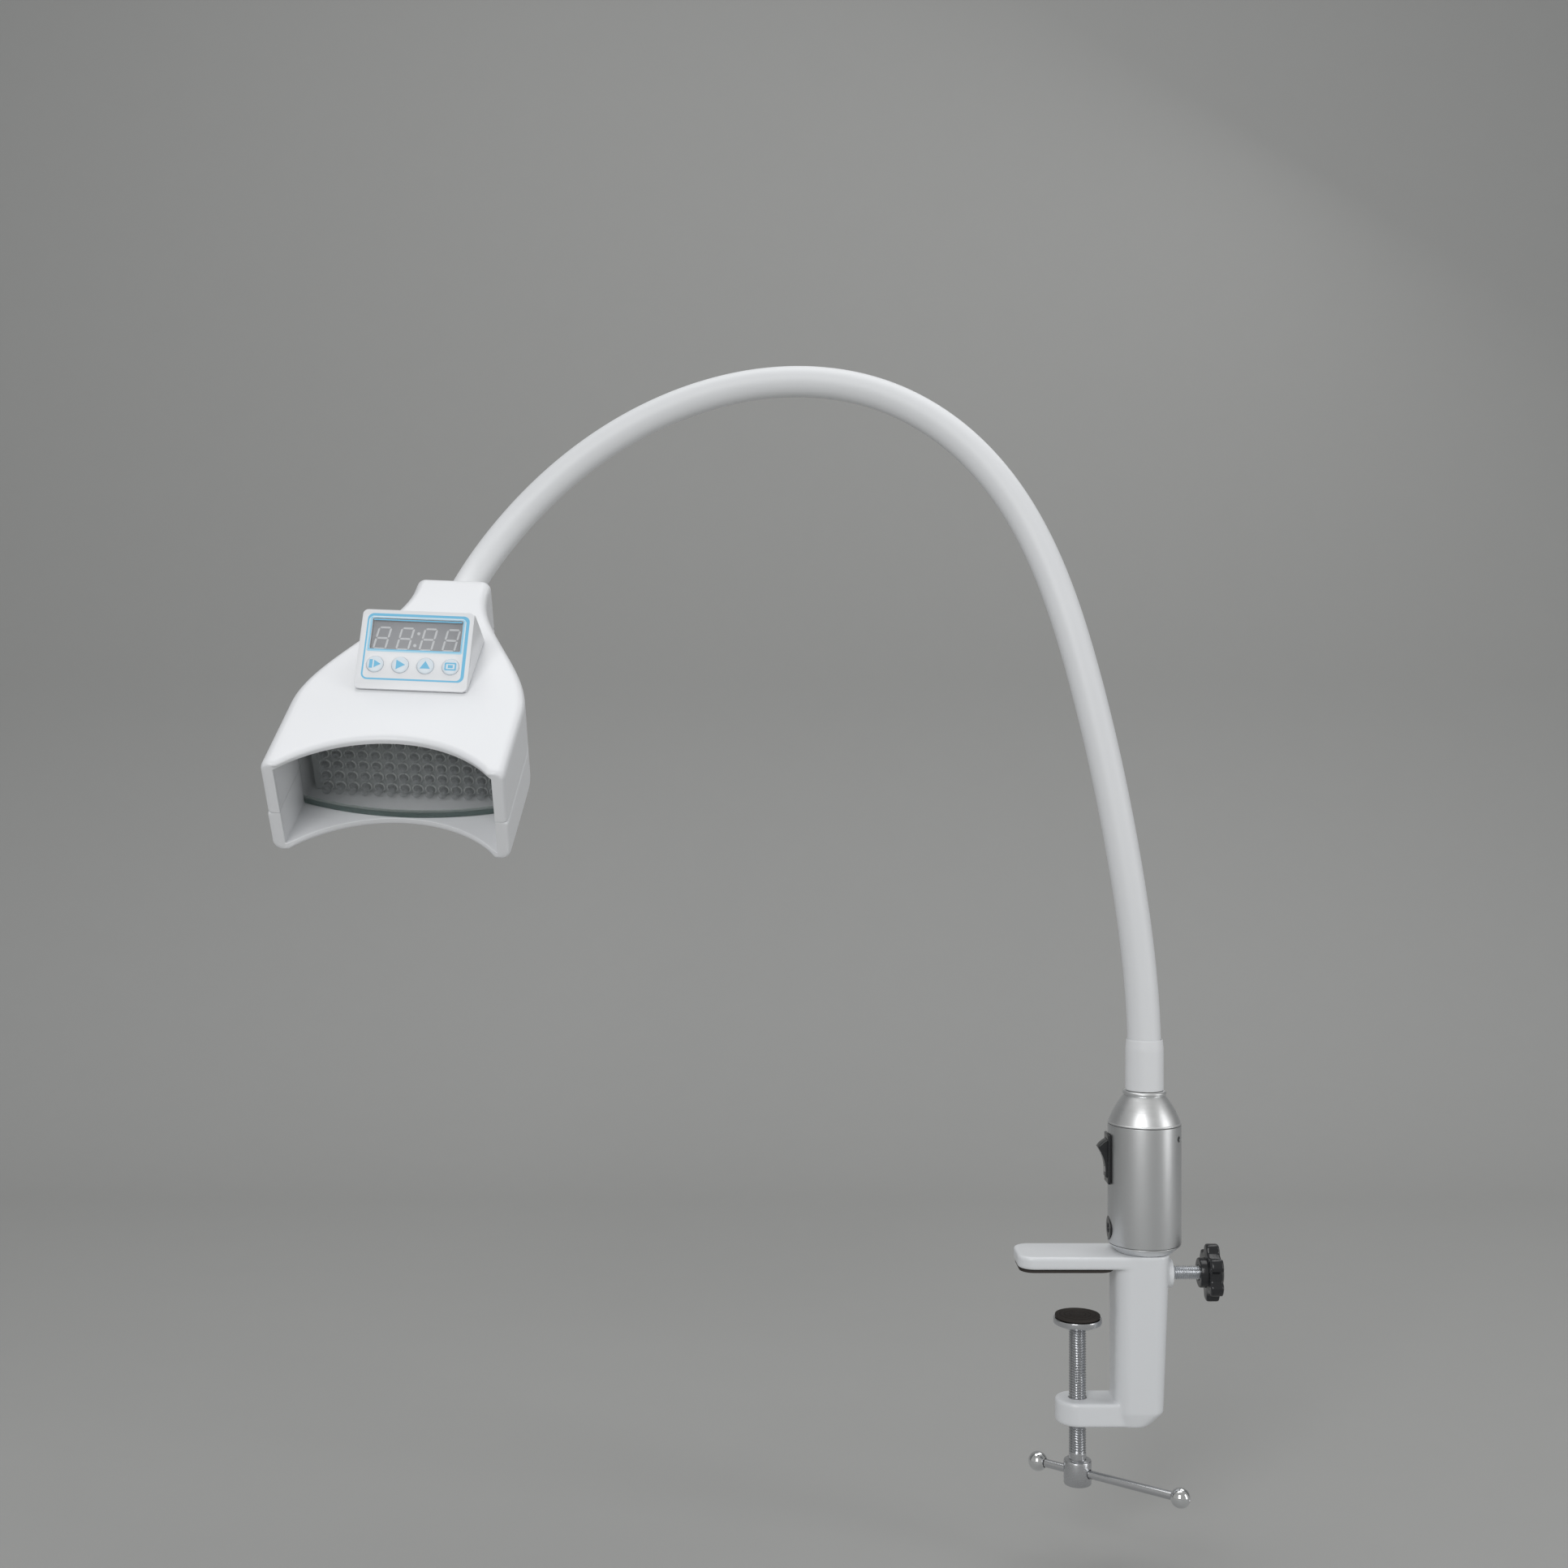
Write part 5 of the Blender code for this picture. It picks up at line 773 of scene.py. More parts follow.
MARK_SPAN, MARK_SINK = 0.0087, 0.00003
for mark, loops, centre in (
        ("rocker_mark_on", [outline(-0.0016, 0.0016, -0.00025, 0.00025, 0.0002, 3)], 0.0049),
        ("rocker_mark_off", [circle(0, 0, radius, 32) for radius in (0.0016, 0.0011)], -0.0049)):
    out = saddle(centre, MARK_SPAN)
    slope = math.atan2(POWER * (out - SADDLE), abs(centre)) * math.copysign(1, centre)
    lie = (Matrix.Translation((out - MARK_SINK, centre, 0))
           @ Matrix.Rotation(-slope, 4, "Z") @ Z_TO_X)
    dress(plate(mark, loops, 0, 0.00008, rocker_place @ lie), "mark_white", "rocker")

# %% [markdown]
# The jack is turned too: a flange outside, a bore with its contact sleeve, and the centre pin.

# %% Jack
jack_place = Matrix.Translation((LEFT, 0, JACK_Z)) @ Z_TO_X
jack = turned("jack_body",
              ((0, 0.0095), (0.0027, 0.0095), (0.0027, 0.0004), (0.0031, 0), (0.0066, 0),
               (0.0066, 0.0011), (0.004, 0.0011), (0.004, 0.0118), (0, 0.0118)),
              jack_place, 64, 0.00025)
dress(jack, "black_plastic", "post", "dc_jack")
pin = turned("jack_pin", solid(0.00105, 0.0006, 0.0097), jack_place, 32, 0.0004)
dress(pin, "chrome", "post")
ring = turned("jack_contact", hollow(0.00245, 0.00265, 0.0012, 0.009), jack_place, 48, 0.00005,
              closed=True)
dress(ring, "zinc", "post")
print("jack at z", round(JACK_Z, 4))

# %% [markdown]
# ## Gooseneck
# The neck is a steel hose in a white silicone sleeve. Its curve comes from the CAD model's own
# rule: a bend rate that changes along the length, added up in small steps. A bezier through a few
# points would miss that curve by millimetres. The model bends at five places, so five lengths of
# sleeve are blended, each across one of them, and meet halfway between. The hose inside is made
# the same way, with the raised spiral of its wound strip: a radius that reads length and angle.

# %% Neck curve
NECK_LENGTH, NECK_FOOT, STEPS = 0.7998, 0.0124, 240
SLEEVE_RADIUS, SLEEVE_BORE, HOSE_BORE, STRIP_PITCH = 0.0096, 0.0082, 0.0047, 0.004
# Bend inward and across at even shares of the length, as degrees over the whole length.
BEND_DEG = np.array(((97.1, -12.6), (30.0, -27.6), (32.9, -51.7), (185.3, -66.6),
                     (302.4, -33.7), (233.9, -15.7), (176.4, -24.8), (530.9, 539.9)))


def neck_curve():
    """Places and two directions along the neck, from the bend rates at each step's middle."""
    along, inward = Vector((0, 0, 1)), Vector((-1, 0, 0))
    place = Vector((POST_X, 0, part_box("neck_collar")[0].z + 0.0035 + NECK_FOOT))
    rows = [(*place, *along, *inward)]
    knots = np.linspace(0, 1, len(BEND_DEG))
    for step in range(STEPS):
        middle = (step + 0.5) / STEPS
        into, across = (math.radians(np.interp(middle, knots, BEND_DEG[:, k])) for k in (0, 1))
        push = (inward * into + along.cross(inward) * across) / STEPS
        half = Quaternion(along.cross(push).normalized(), push.length / 2)
        place = place + (half @ along) * NECK_LENGTH / STEPS
        along, inward = half @ (half @ along), half @ (half @ inward)
        rows.append((*place, *along, *inward))
    return np.array(rows)


CURVE = neck_curve()


def neck_at(distance):
    """Place, direction and inward direction at distances along the neck."""
    distance = np.asarray(distance, float)
    stations = np.linspace(0, NECK_LENGTH, STEPS + 1)
    values = np.stack([np.interp(distance, stations, column) for column in CURVE.T], -1)
    place, along, inward = values[..., :3], values[..., 3:6], values[..., 6:]
    place = place + along * np.minimum(distance, 0)[..., None]
    return place, along, inward


def sleeve_rows(start, end, pitch):
    """Distances from start to end that use the curve's own stations, or finer ones."""
    inner = np.arange(math.ceil(start / pitch + 0.01), math.floor(end / pitch - 0.01) + 1) * pitch
    return np.concatenate(([start], inner, [end]))


def neck_tube(name, start, end, pitch, outer, inner, sides):
    """Rings square to the curve: out along the outer radius and back along the bore."""
    rows = sleeve_rows(start, end, pitch)
    angle = np.linspace(0, 2 * np.pi, sides, endpoint=False)

    def rings(distance, radius):
        """A ring of points for each distance, out from the curve by the radius."""
        place, along, inward = (value[:, None] for value in neck_at(distance))
        side = np.cross(along, inward)
        reach = radius(distance[:, None], angle[None])[..., None]
        out, over = np.cos(angle)[None, :, None], np.sin(angle)[None, :, None]
        return place + (inward * out + side * over) * reach

    points = np.concatenate((rings(rows, outer), rings(rows[::-1], inner)))
    return piece_from(name, points, grid_faces(len(points), sides, True, True))


def spiral(distance, angle):
    """Hose radius: a round ridge that climbs one strip's pitch for each turn."""
    ridge = 0.5 + 0.5 * np.cos(2 * np.pi * (distance / STRIP_PITCH + angle / (2 * np.pi)))
    return 0.00745 + 0.00045 * ridge ** 2


def level(radius):
    """The same radius at every distance and angle."""
    return lambda distance, angle: radius + 0 * distance * angle


STATION, LENGTHS, BLEND_REACH = NECK_LENGTH / STEPS, 6, 0.035
for at in range(1, LENGTHS):
    start = -NECK_FOOT if at == 1 else NECK_LENGTH * (at - 0.5) / LENGTHS
    end = NECK_LENGTH if at == LENGTHS - 1 else NECK_LENGTH * (at + 0.5) / LENGTHS
    sleeve = neck_tube(f"sleeve_length_{at}", start, end, STATION,
                       level(SLEEVE_RADIUS), level(SLEEVE_BORE), 48)
    hose = neck_tube(f"hose_length_{at}", start, end, STATION / (5),
                     spiral, level(HOSE_BORE), 20)
    numbers = (1, 2) if at == 1 else (at + 1,)
    for piece, look, node in ((sleeve, "white_silicone", "neck_sleeve"),
                              (hose, "steel", "neck_hose")):
        dress(piece, look, None, *[f"{node}_{number}" for number in numbers], angle_deg=60)
        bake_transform(piece)
collar_low, collar_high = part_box("neck_collar")
foot, top = collar_low.z, collar_high.z
collar = turned("neck_collar_soft",
                ((SLEEVE_RADIUS + 0.0004, foot), (0.011, foot), (0.011, top - 0.0056),
                 (0.0106, top - 0.0019), (SLEEVE_RADIUS + 0.0008, top),
                 (SLEEVE_RADIUS + 0.0004, top)), at_post, 96, 0.0014, closed=True, steps=6)
dress(collar, "white_silicone", "post", "neck_collar")
print("neck end", [round(v, 4) for v in CURVE[-1, :3]])

# %% [markdown]
# ## Head shells
# The hood is two mouldings that meet at a parting line. Both widen from the neck's block to a
# wide mouth and the upper and lower edges of the mouth are cut back in an arc. Each is one grid.
# Columns run round half of a rounded rectangle, and rows run from the middle of the back face,
# over its rounded rim, along the outside to the mouth, round the lip and back along the inside.
# Each point reads its own distance, so the arc bends the rows without cutting them. Near the
# parting line the outside falls back a little, which leaves the thin groove seen on the photo.

# %% Head sections
# The head's frame: X to the right, -Y from the neck's end to the mouth, Z out of the top.
HEAD = Matrix(((0.998944, 0.039892, 0.022789, -0.362728),
               (-0.019269, 0.814083, -0.580427, 0.052436),
               (-0.041706, 0.579374, 0.813994, 0.403199), (0, 0, 0, 1)))
PARTING, SEAM, SKIN, MOUTH = -0.032, 0.00015, 0.0026, 0.200
OUTER_CORNER, INNER_CORNER = 0.0055, 0.0008


def ease(share):
    """Three times the square less twice the cube of a share held between 0 and 1."""
    share = np.clip(share, 0, 1)
    return share * share * (3 - 2 * share)


def flare(distance):
    """Share of the head's widening, eased from 10.5 mm to 138 mm along it."""
    return ease((distance - 0.0105) / 0.1275)


def half_width(distance):
    """Half of 45 mm at the neck and of 128 mm in front."""
    return (0.045 + 0.083 * flare(distance)) / 2


def hood_depth(distance):
    """40 mm at the neck, 59 mm at the belly, a little less again at the mouth."""
    rise = 0.040 + 0.019 * ease((distance - 0.035) / 0.085)
    fall = 0.059 - 0.0025 * np.clip((distance - 0.120) / 0.080, 0, 1) ** 2
    return np.where(distance <= 0.120, rise, fall)


def side_wall(distance):
    """Thickness of the side walls: the skin at the neck and 4 mm more in front."""
    return SKIN + 0.0040 * flare(distance)


def mouth_end(x, up):
    """Distance of the mouth's edge: the lesser of the corners' plane and an arc that meets it at
    the side walls, eased into each other by a logarithm of summed exponentials."""
    radius, sag = (0.0707, 0.0278) if up > 0 else (0.0695, 0.0286)
    arc = MOUTH - sag + radius - np.sqrt(np.maximum(radius ** 2 - x ** 2, 0))
    blend = 0.00015
    return MOUTH - blend * np.logaddexp(0, (MOUTH - arc) / blend)


GROOVE_TOP = 0.0018
TURN = np.linspace(0, np.pi / 2, 11)[1:]
SIDE = np.array((0, 0.0004, 0.0009, GROOVE_TOP, 0.1, 0.3, 0.55, 0.8, 1.0))
FLAT = np.linspace(-1, 1, 49)[1:-1]
# The columns go up the left side, round a corner, across, round a corner and down the right side.
*CUTS, COLUMNS = np.cumsum((len(SIDE), len(TURN), len(FLAT), len(TURN), len(SIDE))).tolist()


def climb(run):
    """Heights up a side: fixed steps past the groove, then shares of what is left of the run."""
    return np.where(SIDE < 0.01, SIDE, GROOVE_TOP + (run - GROOVE_TOP) * SIDE)


def section(distance, inset_side, inset_skin, corner, up, groove):
    """Half a rounded rectangle from the left parting edge over to the right one.

    distance has one value for each column; up is 1 for the upper half and -1 for the lower."""
    reach = np.where(up > 0, -inset_skin - PARTING, PARTING + hood_depth(distance) - inset_skin)
    wide = np.split(half_width(distance) - inset_side, CUTS)
    run, reach = np.split(reach - corner, CUTS), np.split(reach, CUTS)
    edge = (0.00035, 0.00005, 0) if up > 0 else (0.00110, 0.00060, 0.00020)
    sunk = groove * np.array((*edge, 0, 0, 0, 0, 0, 0))
    out, over = corner * (1 - np.cos(TURN)), corner * np.sin(TURN)
    x = np.concatenate((-wide[0] + sunk, -wide[1] + out, (wide[2] - corner) * FLAT,
                        wide[3] - out[::-1], wide[4] - sunk[::-1]))
    z = np.concatenate((climb(run[0]), run[1] + over, reach[2], run[3] + over[::-1],
                        climb(run[4][::-1])[::-1]))
    return x, PARTING + up * (SEAM + z)


LIP_BEAD, CAP_EDGE, NEAR_MOUTH = 0.0042, 0.002, 0.19
LIP_GAPS, CAP_SCALES = (0.0007, 0.0012, 0.0018, 0.0024, 0.0030, 0.0036), (0.85, 0.6, 0.3, 0.1, 0)


def inner_section(distance, gap, up):
    """The inside of the wall. The roof swells to a bead at the mouth; the floor is thicker all
    along the front, where it carries the lens."""
    bead = ease(1 - gap / LIP_BEAD)
    extra = 0.0016 * bead if up > 0 else 0.0016 * ease((distance - 0.120) / 0.03)
    return section(distance, side_wall(distance) + 0.0004 * bead, SKIN + extra, INNER_CORNER, up, 0)


def shell_surface(up):
    """Rows of points: cap, outside, lip, inside, inner cap. See the note above."""
    rows = []
    flat = np.zeros(COLUMNS)

    def add(x, y, z, scale=1.0):
        """Keep a row, drawn in by the scale to the middle of the parting edge."""
        middle = PARTING + up * SEAM
        rows.append(np.stack((x * scale, -y, middle + (z - middle) * scale), -1))

    def outside(distance, inset):
        """A row of the outer section, smaller all round by the inset."""
        x, z = section(distance, flat + inset, inset, OUTER_CORNER, up, 1)
        return x, distance, z

    def inside(distance, gap):
        """A row of the inner section, for a gap to the mouth's edge."""
        x, z = inner_section(distance, flat + gap, up)
        return x, distance, z

    run, drop = (0.0042, 0.0022) if up > 0 else (0.0022, 0.0015)
    end_outer = mouth_end(outside(flat + NEAR_MOUTH, 0)[0], up)
    end_inner = mouth_end(inside(flat + NEAR_MOUTH, 0)[0], up)
    for scale in (0, 0.3, 0.6, 0.85, 1):
        add(*outside(flat, CAP_EDGE), scale)
    for turn in np.radians((22, 45, 67)):
        add(*outside(flat + CAP_EDGE * (1 - np.cos(turn)), CAP_EDGE * (1 - np.sin(turn))))
    for share in np.linspace(0, 1, 64):
        add(*outside(CAP_EDGE + (end_outer - run - CAP_EDGE) * share, 0))
    for turn in np.radians((12, 26, 40, 54, 68, 80)):
        add(*lip(end_outer - run * (1 - np.sin(turn)), end_inner, drop * (1 - np.cos(turn)), up))
    for share in (0.52, 0.70, 0.86, 0.95):
        add(*lip(end_outer, end_inner, None, up, share))
    add(*lip(end_outer, end_inner - 0.0003, None, up, 1.0))
    inner_rows = len(rows) - len(LIP_GAPS) - len(CAP_SCALES)
    for gap in LIP_GAPS:
        add(*inside(end_inner - gap, gap))
    for share in np.linspace(1, 0, inner_rows):
        add(*inside(SKIN + (end_inner - LIP_BEAD - SKIN) * share, 1))
    for scale in CAP_SCALES:
        add(*inside(flat + SKIN, 1), scale)
    return np.stack(rows)


def lip(outer_end, inner_end, sink, up, share=None):
    """A row of the lip, between the outer and the inner section, by depth or by share."""
    flat = np.zeros(COLUMNS)
    x_out, z_out = section(outer_end, flat, 0, OUTER_CORNER, up, 1)
    x_in, z_in = inner_section(inner_end, flat, up)
    y = outer_end
    if share is None:
        gap = np.hypot(x_in - x_out, z_in - z_out)
        share = np.minimum(sink / np.maximum(gap, 1e-6), 0.45)
    else:
        y = outer_end + (inner_end - outer_end) * ((share - 0.46) / 0.54)
    return x_out + (x_in - x_out) * share, y, z_out + (z_in - z_out) * share


def shell_piece(name, up):
    """The grid's faces, and two strips that close the parting edge between outside and inside."""
    points = shell_surface(up)
    rows = len(points)
    faces = grid_faces(rows, COLUMNS).tolist()
    for column in (0, COLUMNS - 1):
        low = np.arange(rows // 2 - 1)
        strip = np.stack((low, low + 1, rows - 2 - low, rows - 1 - low), -1) * COLUMNS + column
        faces += strip.tolist()
    return piece_from(name, points, faces, HEAD)


upper = shell_piece("hood_upper", 1)
lower = shell_piece("hood_lower", -1)
print("shell points:", len(upper.data.vertices), len(lower.data.vertices))

# %% [markdown]
# The upper shell has a round hole for the sleeve, a bulkhead for the hose's nut and a cut-out
# under the control pod. The lower one has four recesses for the screws that close the head.

# %% Openings of the shells
PANEL_SPOT, TILT, NECK_Z = (0, -0.10835, 0.0156), math.radians(36), -0.020
PANEL = HEAD @ Matrix.Translation(PANEL_SPOT) @ Matrix.Rotation(TILT, 4, "X")


def in_head(point):
    """A point of the head's frame in the lamp's."""
    return HEAD @ Vector(point)


neck_hole = rod("hole", 0.01005, in_head((0, PAST, NECK_Z)), in_head((0, -0.0039, NECK_Z)))
pod_hole = block("cutout", (-0.027, -0.1205, -0.0086), (0.027, -0.0760, PAST), HEAD)
upper = combined(upper, neck_hole, pod_hole)
screws = [(side * x, -y) for x, y in ((0.0145, 0.041), (0.0465, 0.122)) for side in (-1, 1)]
bulkhead_place = (HEAD @ Matrix.Translation((0, 0, NECK_Z)) @ Matrix.Rotation(-math.pi / 2, 4, "X")
                  @ Matrix.Diagonal((1, 0.78, 1, 1)))
extras = [turned("bulkhead", hollow(0.0065, 0.0208, -0.008, -0.011), bulkhead_place, 48, 0.0004,
                 closed=True)]
BOSS_BORE, BOSS_RADIUS, BOSS_GAP = 0.0018, 0.0044, 0.0003
bosses = []
for x, y in screws:
    foot = float(-hood_depth(np.array(-y)))
    at_place = HEAD @ Matrix.Translation((x, y, 0))
    extras.append(turned("boss", hollow(BOSS_BORE, BOSS_RADIUS, PARTING + BOSS_GAP, -0.0015),
                         at_place, 32, 0.0003, closed=True))
    bosses.append(turned("boss",
                         ((BOSS_BORE, -0.0382), (0.0031, -0.0382), (0.0031, foot + 0.0014),
                          (BOSS_RADIUS, foot + 0.0014), (BOSS_RADIUS, PARTING - BOSS_GAP),
                          (BOSS_BORE, PARTING - BOSS_GAP)), at_place, 32, 0.0001, closed=True))
    lower = combined(lower, rod("recess", 0.0031, in_head((x, y, foot - PAST)),
                                in_head((x, y, foot + PAST)), 40))
dress(merged("hood_upper_shell", upper, *extras), "white_abs", "head", "head_upper_shell",
      angle_deg=40)
dress(merged("hood_lower_shell", lower, *bosses), "white_abs", "head", "head_lower_shell",
      angle_deg=40)
for number, (x, y) in enumerate(screws, 1):
    seat = PARTING - 0.0064
    at_place = HEAD @ Matrix.Translation((x, y, 0))
    screw = turned(f"hood_screw_{number}",
                   ((0, seat - 0.002), (0.0028, seat - 0.002), (0.0028, seat), (0.00145, seat),
                    (0.00145, seat + 0.0143), (0, seat + 0.0143)), at_place, 40, 0.0005)
    cross = [block("slot", (-0.0015, -0.00032, seat - 0.003), (0.0015, 0.00032, seat - 0.001),
                   at_place @ Matrix.Rotation(turn + number, 4, "Z"))
             for turn in (0.4, 0.4 + math.pi / 2)]
    dress(combined(screw, *cross), "zinc", "head", f"shell_screw_{number}")

# %% [markdown]
# ## Lens and diodes
# The lens is a clear plate bent on a cylinder with an upright axis. Rings of one rounded
# rectangle, from its middle to its rim, are wrapped round that cylinder, out on the front face
# and back on the rear one. Behind it, ninety-eight clear diodes stand on a board. Each is a
# short grid of its own, a straight barrel and a dome, and all of them are one mesh.

# %% Lens
def dense(points, step):
    """A closed outline whose long sides are cut into lengths of about the step."""
    parts = []
    for start, end in zip(points, np.roll(points, -1, axis=0)):
        count = max(int(np.linalg.norm(end - start) / step), 1)
        parts.append(start + (end - start) * np.linspace(0, 1, count, endpoint=False)[:, None])
    return np.vstack(parts)


LENS_FRONT, LENS_THICK, LENS_CURVE, LENS_TOP = 0.1705, 0.003, 0.172, -0.0029
LENS_SIDE = np.array(0.1605)
lens_edge = float(half_width(LENS_SIDE) - side_wall(LENS_SIDE)) - 0.0003
lens_swing = math.asin(lens_edge / LENS_CURVE)
lens_foot = SKIN + 0.0018 - float(hood_depth(LENS_SIDE))


def bent(angle, sink, height):
    """Points of the bent plate: x = r sin, y = centre - r cos, where r is less by the depth."""
    radius = LENS_CURVE - sink
    return np.stack((radius * np.sin(angle), LENS_CURVE - LENS_FRONT - radius * np.cos(angle),
                     height), -1)


def lens_surface():
    """Wrapped rings: angle = across / radius, out on the front face and back on the rear one."""
    half = lens_swing * LENS_CURVE
    ring = dense(outline(-half, half, lens_foot, LENS_TOP, 0.0009, 6), 0.004)
    middle = np.array((0, (lens_foot + LENS_TOP) / 2))
    scales = np.concatenate((np.linspace(0, 0.95, 12), (0.985, 0.996, 1.0)))
    sinks = np.concatenate((np.zeros(12), (0, 0.0002, 0.0006)))
    rows = []
    for scale, sink in (*zip(scales, sinks), *zip(scales[::-1], LENS_THICK - sinks[::-1])):
        flat = middle + (ring - middle) * scale
        rows.append(bent(flat[:, 0] / LENS_CURVE, sink, flat[:, 1]))
    return np.stack(rows)


surface = lens_surface()
lens = piece_from("curved_lens", surface, grid_faces(*surface.shape[:2], False, True), HEAD)
dress(lens, "clear_lens", "head", "lens")


def lens_strip(name, low, high, front, rear):
    """A bar that lies inside the plate and follows its bend, between two heights and two depths."""
    swing = np.linspace(-lens_swing, lens_swing, 49)[:, None]
    sink, height = np.array(((front, low), (front, high), (rear, high), (rear, low))).T
    return piece_from(name, bent(swing, sink, height + 0 * swing),
                      grid_faces(len(swing), len(sink), False, True), HEAD)


dress(lens_strip("lens_rim", lens_foot + 0.0001, lens_foot + 0.0030, 0.0002, 0.0028),
      "lens_rim", "head")
# A paler strip inside the lens, just above its edge: a painted reflection of the diode row.
dress(lens_strip("lens_glint", lens_foot + 0.0034, lens_foot + 0.0050, 0.0004, 0.0008),
      "lens_glint", "head")

# %% Board and diodes
BOARD_Y, PITCH = -0.1465, 0.0072
board_foot = 0.0030 - float(hood_depth(np.array(0.1465)))
across = PITCH * (np.arange(14) - 6.5)
upright = (board_foot - 0.003) / 2 + PITCH * (np.arange(7) - 3)
spots = np.stack(np.meshgrid(across, upright), -1).reshape(-1, 2)


def repeated(name, profile, sides):
    """One small turned form at every diode's place, all in one mesh."""
    radius, rise = np.array(profile).T[:, :, None]
    angle = np.linspace(0, 2 * np.pi, sides, endpoint=False)
    one = np.stack((radius * np.cos(angle), BOARD_Y - rise + 0 * angle, radius * np.sin(angle)), -1)
    one = one.reshape(-1, 3)
    shift = np.stack((spots[:, 0], 0 * spots[:, 0], spots[:, 1]), -1)
    points = (one[None] + shift[:, None]).reshape(-1, 3)
    faces = grid_faces(len(profile), sides, False, True)
    faces = (faces[None] + (np.arange(len(spots)) * len(one))[:, None, None]).reshape(-1, 4)
    return piece_from(name, points, faces, HEAD)


board = block("diode_board", (-0.0541, BOARD_Y, board_foot + 0.0014),
              (0.0541, BOARD_Y + 0.0016, -0.003), HEAD, 0.0002)
dress(board, "board_white", "head", "led_board")
domes = repeated("diode_domes", ((0, 0.0002), (0.0028, 0.0002), (0.0028, 0.0044), (0.0026, 0.0056),
                                 (0.0021, 0.0065), (0.0012, 0.0071), (0, 0.0072)), 16)
dress(domes, "diode_clear", "head", angle_deg=50)
# Each diode's flange: real in shape, but its near-white colour is painted highlight for the bright
# rim round the clear dome.
collars = repeated("diode_collars", ((0.0026, 0.0001), (0.0032, 0.0001), (0.0033, 0.0005),
                                     (0.0032, 0.0010), (0.0029, 0.0012), (0.0026, 0.0010)), 16)
dress(collars, "diode_collar", "head", angle_deg=60)
cups = repeated("diode_cups", ((0, 0.0016), (0.0007, 0.0016), (0.0016, 0.0030), (0.0018, 0.0030),
                               (0.0018, 0.0004), (0, 0.0004)), 10)
dress(cups, "diode_cup", "head")

# %% [markdown]
# ## Control pod and panel
# The pod is a hollow wedge that tips the panel towards the reader. The panel is a white plate
# with a blue printed border, a framed window and four round keys. The print is ink on the real
# lamp. Here each line is its own thin ribbon, so its colour and its edge stay sharp at any size.

# %% Pod and bezel
POD_FOOT, POD_WALL, PANEL_HALF, PANEL_RISE = 0.0003, 0.0022, 0.0312, 0.0237
face_place = Matrix.Translation(PANEL_SPOT) @ Matrix.Rotation(TILT, 4, "X")
pod_top = face_place @ Vector((0, PANEL_RISE, -0.0018))
pod_line = face_place @ Vector((0, -PANEL_RISE, -0.0018))
pod_foot = pod_line.lerp(pod_top, (POD_FOOT - pod_line.z) / (pod_top.z - pod_line.z))
pod_back = pod_top.y + 0.0185
sideways = HEAD @ Matrix(((0, 0, 1, 0), (1, 0, 0, 0), (0, 1, 0, 0), (0, 0, 0, 1)))
pod = prism("control_wedge", ((pod_foot.y, POD_FOOT), (pod_back, POD_FOOT), (pod_top.y, pod_top.z)),
            -PANEL_HALF, PANEL_HALF, sideways, 0.0008)
rear = math.atan2(pod_top.z - POD_FOOT, pod_back - pod_top.y)
front_slope, rear_slope = math.tan(TILT), math.tan(rear)
front_y, back_y = pod_foot.y + POD_WALL / math.sin(TILT), pod_back - POD_WALL / math.sin(rear)
peak_y = (front_y * front_slope + back_y * rear_slope) / (front_slope + rear_slope)
peak_z = POD_FOOT + (peak_y - front_y) * front_slope
room_foot = POD_FOOT - PAST
room = prism("room", ((front_y - PAST / front_slope, room_foot),
                      (back_y + PAST / rear_slope, room_foot), (peak_y, peak_z)),
             -0.0290, 0.0290, sideways)
opening = block("opening", (-0.027, -0.0155, -0.0075), (0.027, 0.0205, PAST), PANEL)
pod = combined(pod, room, opening)
dress(pod, "white_abs", "head", "control_pod")

KEYS = [0.014 * (at - 1.5) for at in range(4)]
KEY_Y = -0.0092
bezel = plate("panel_plate",
              [outline(-PANEL_HALF, PANEL_HALF, -PANEL_RISE, PANEL_RISE, 0.003),
               outline(-0.0252, 0.0252, 0.00015, 0.01865, 0.0006, 3),
               *[circle(x, KEY_Y, 0.00484, 64) for x in KEYS]], -0.0015, 0, PANEL, edge=0.00015)
dress(bezel, "white_abs", "head", "panel_bezel")

# %% Printed border, window and display
INK = (-0.00003, 0.00005)


def ribbon(name, loops, look, heights=INK):
    """A thin print on the panel, filled between its loops and between two heights."""
    return dress(plate(name, loops, *heights, PANEL), look, "head")


frame_line = outline(-0.02585, 0.02585, -0.0006, 0.01895, 0.0006, 4)
ribbon("border_print", [outline(-0.0281, 0.0289, -0.0183, 0.0214, 0.0035),
                        outline(-0.0272, 0.0271, -0.0173, 0.0198, 0.0026)], "print_blue")
ribbon("window_print", [outline(-0.0267, 0.0266, -0.0015, 0.0193, 0.0010, 4), frame_line],
       "print_pale")
ribbon("window_line", [frame_line, outline(-0.0254, 0.0254, -0.00002, 0.0188, 0.0005, 4)],
       "print_blue")
window = plate("display_pane", [outline(-0.0249, 0.0249, 0.00045, 0.01835, 0.0004, 3)],
               -0.0014, -0.0003, PANEL, edge=0.00012)
dress(window, "window_smoke", "head", "display_window")
ribbon("pane_print", [outline(-0.0247, 0.0247, 0.0174, 0.0182, 0.0002, 2)], "print_blue",
       (-0.00031, -0.00026))
module = block("display_block", (-0.0256, -0.0003, -0.0067), (0.0256, 0.0191, -0.0018),
               PANEL, 0.0002)
dress(module, "display_grey", "head", "display_module")


LEAN, DIGIT_MIDDLE = 0.17, 0.0071


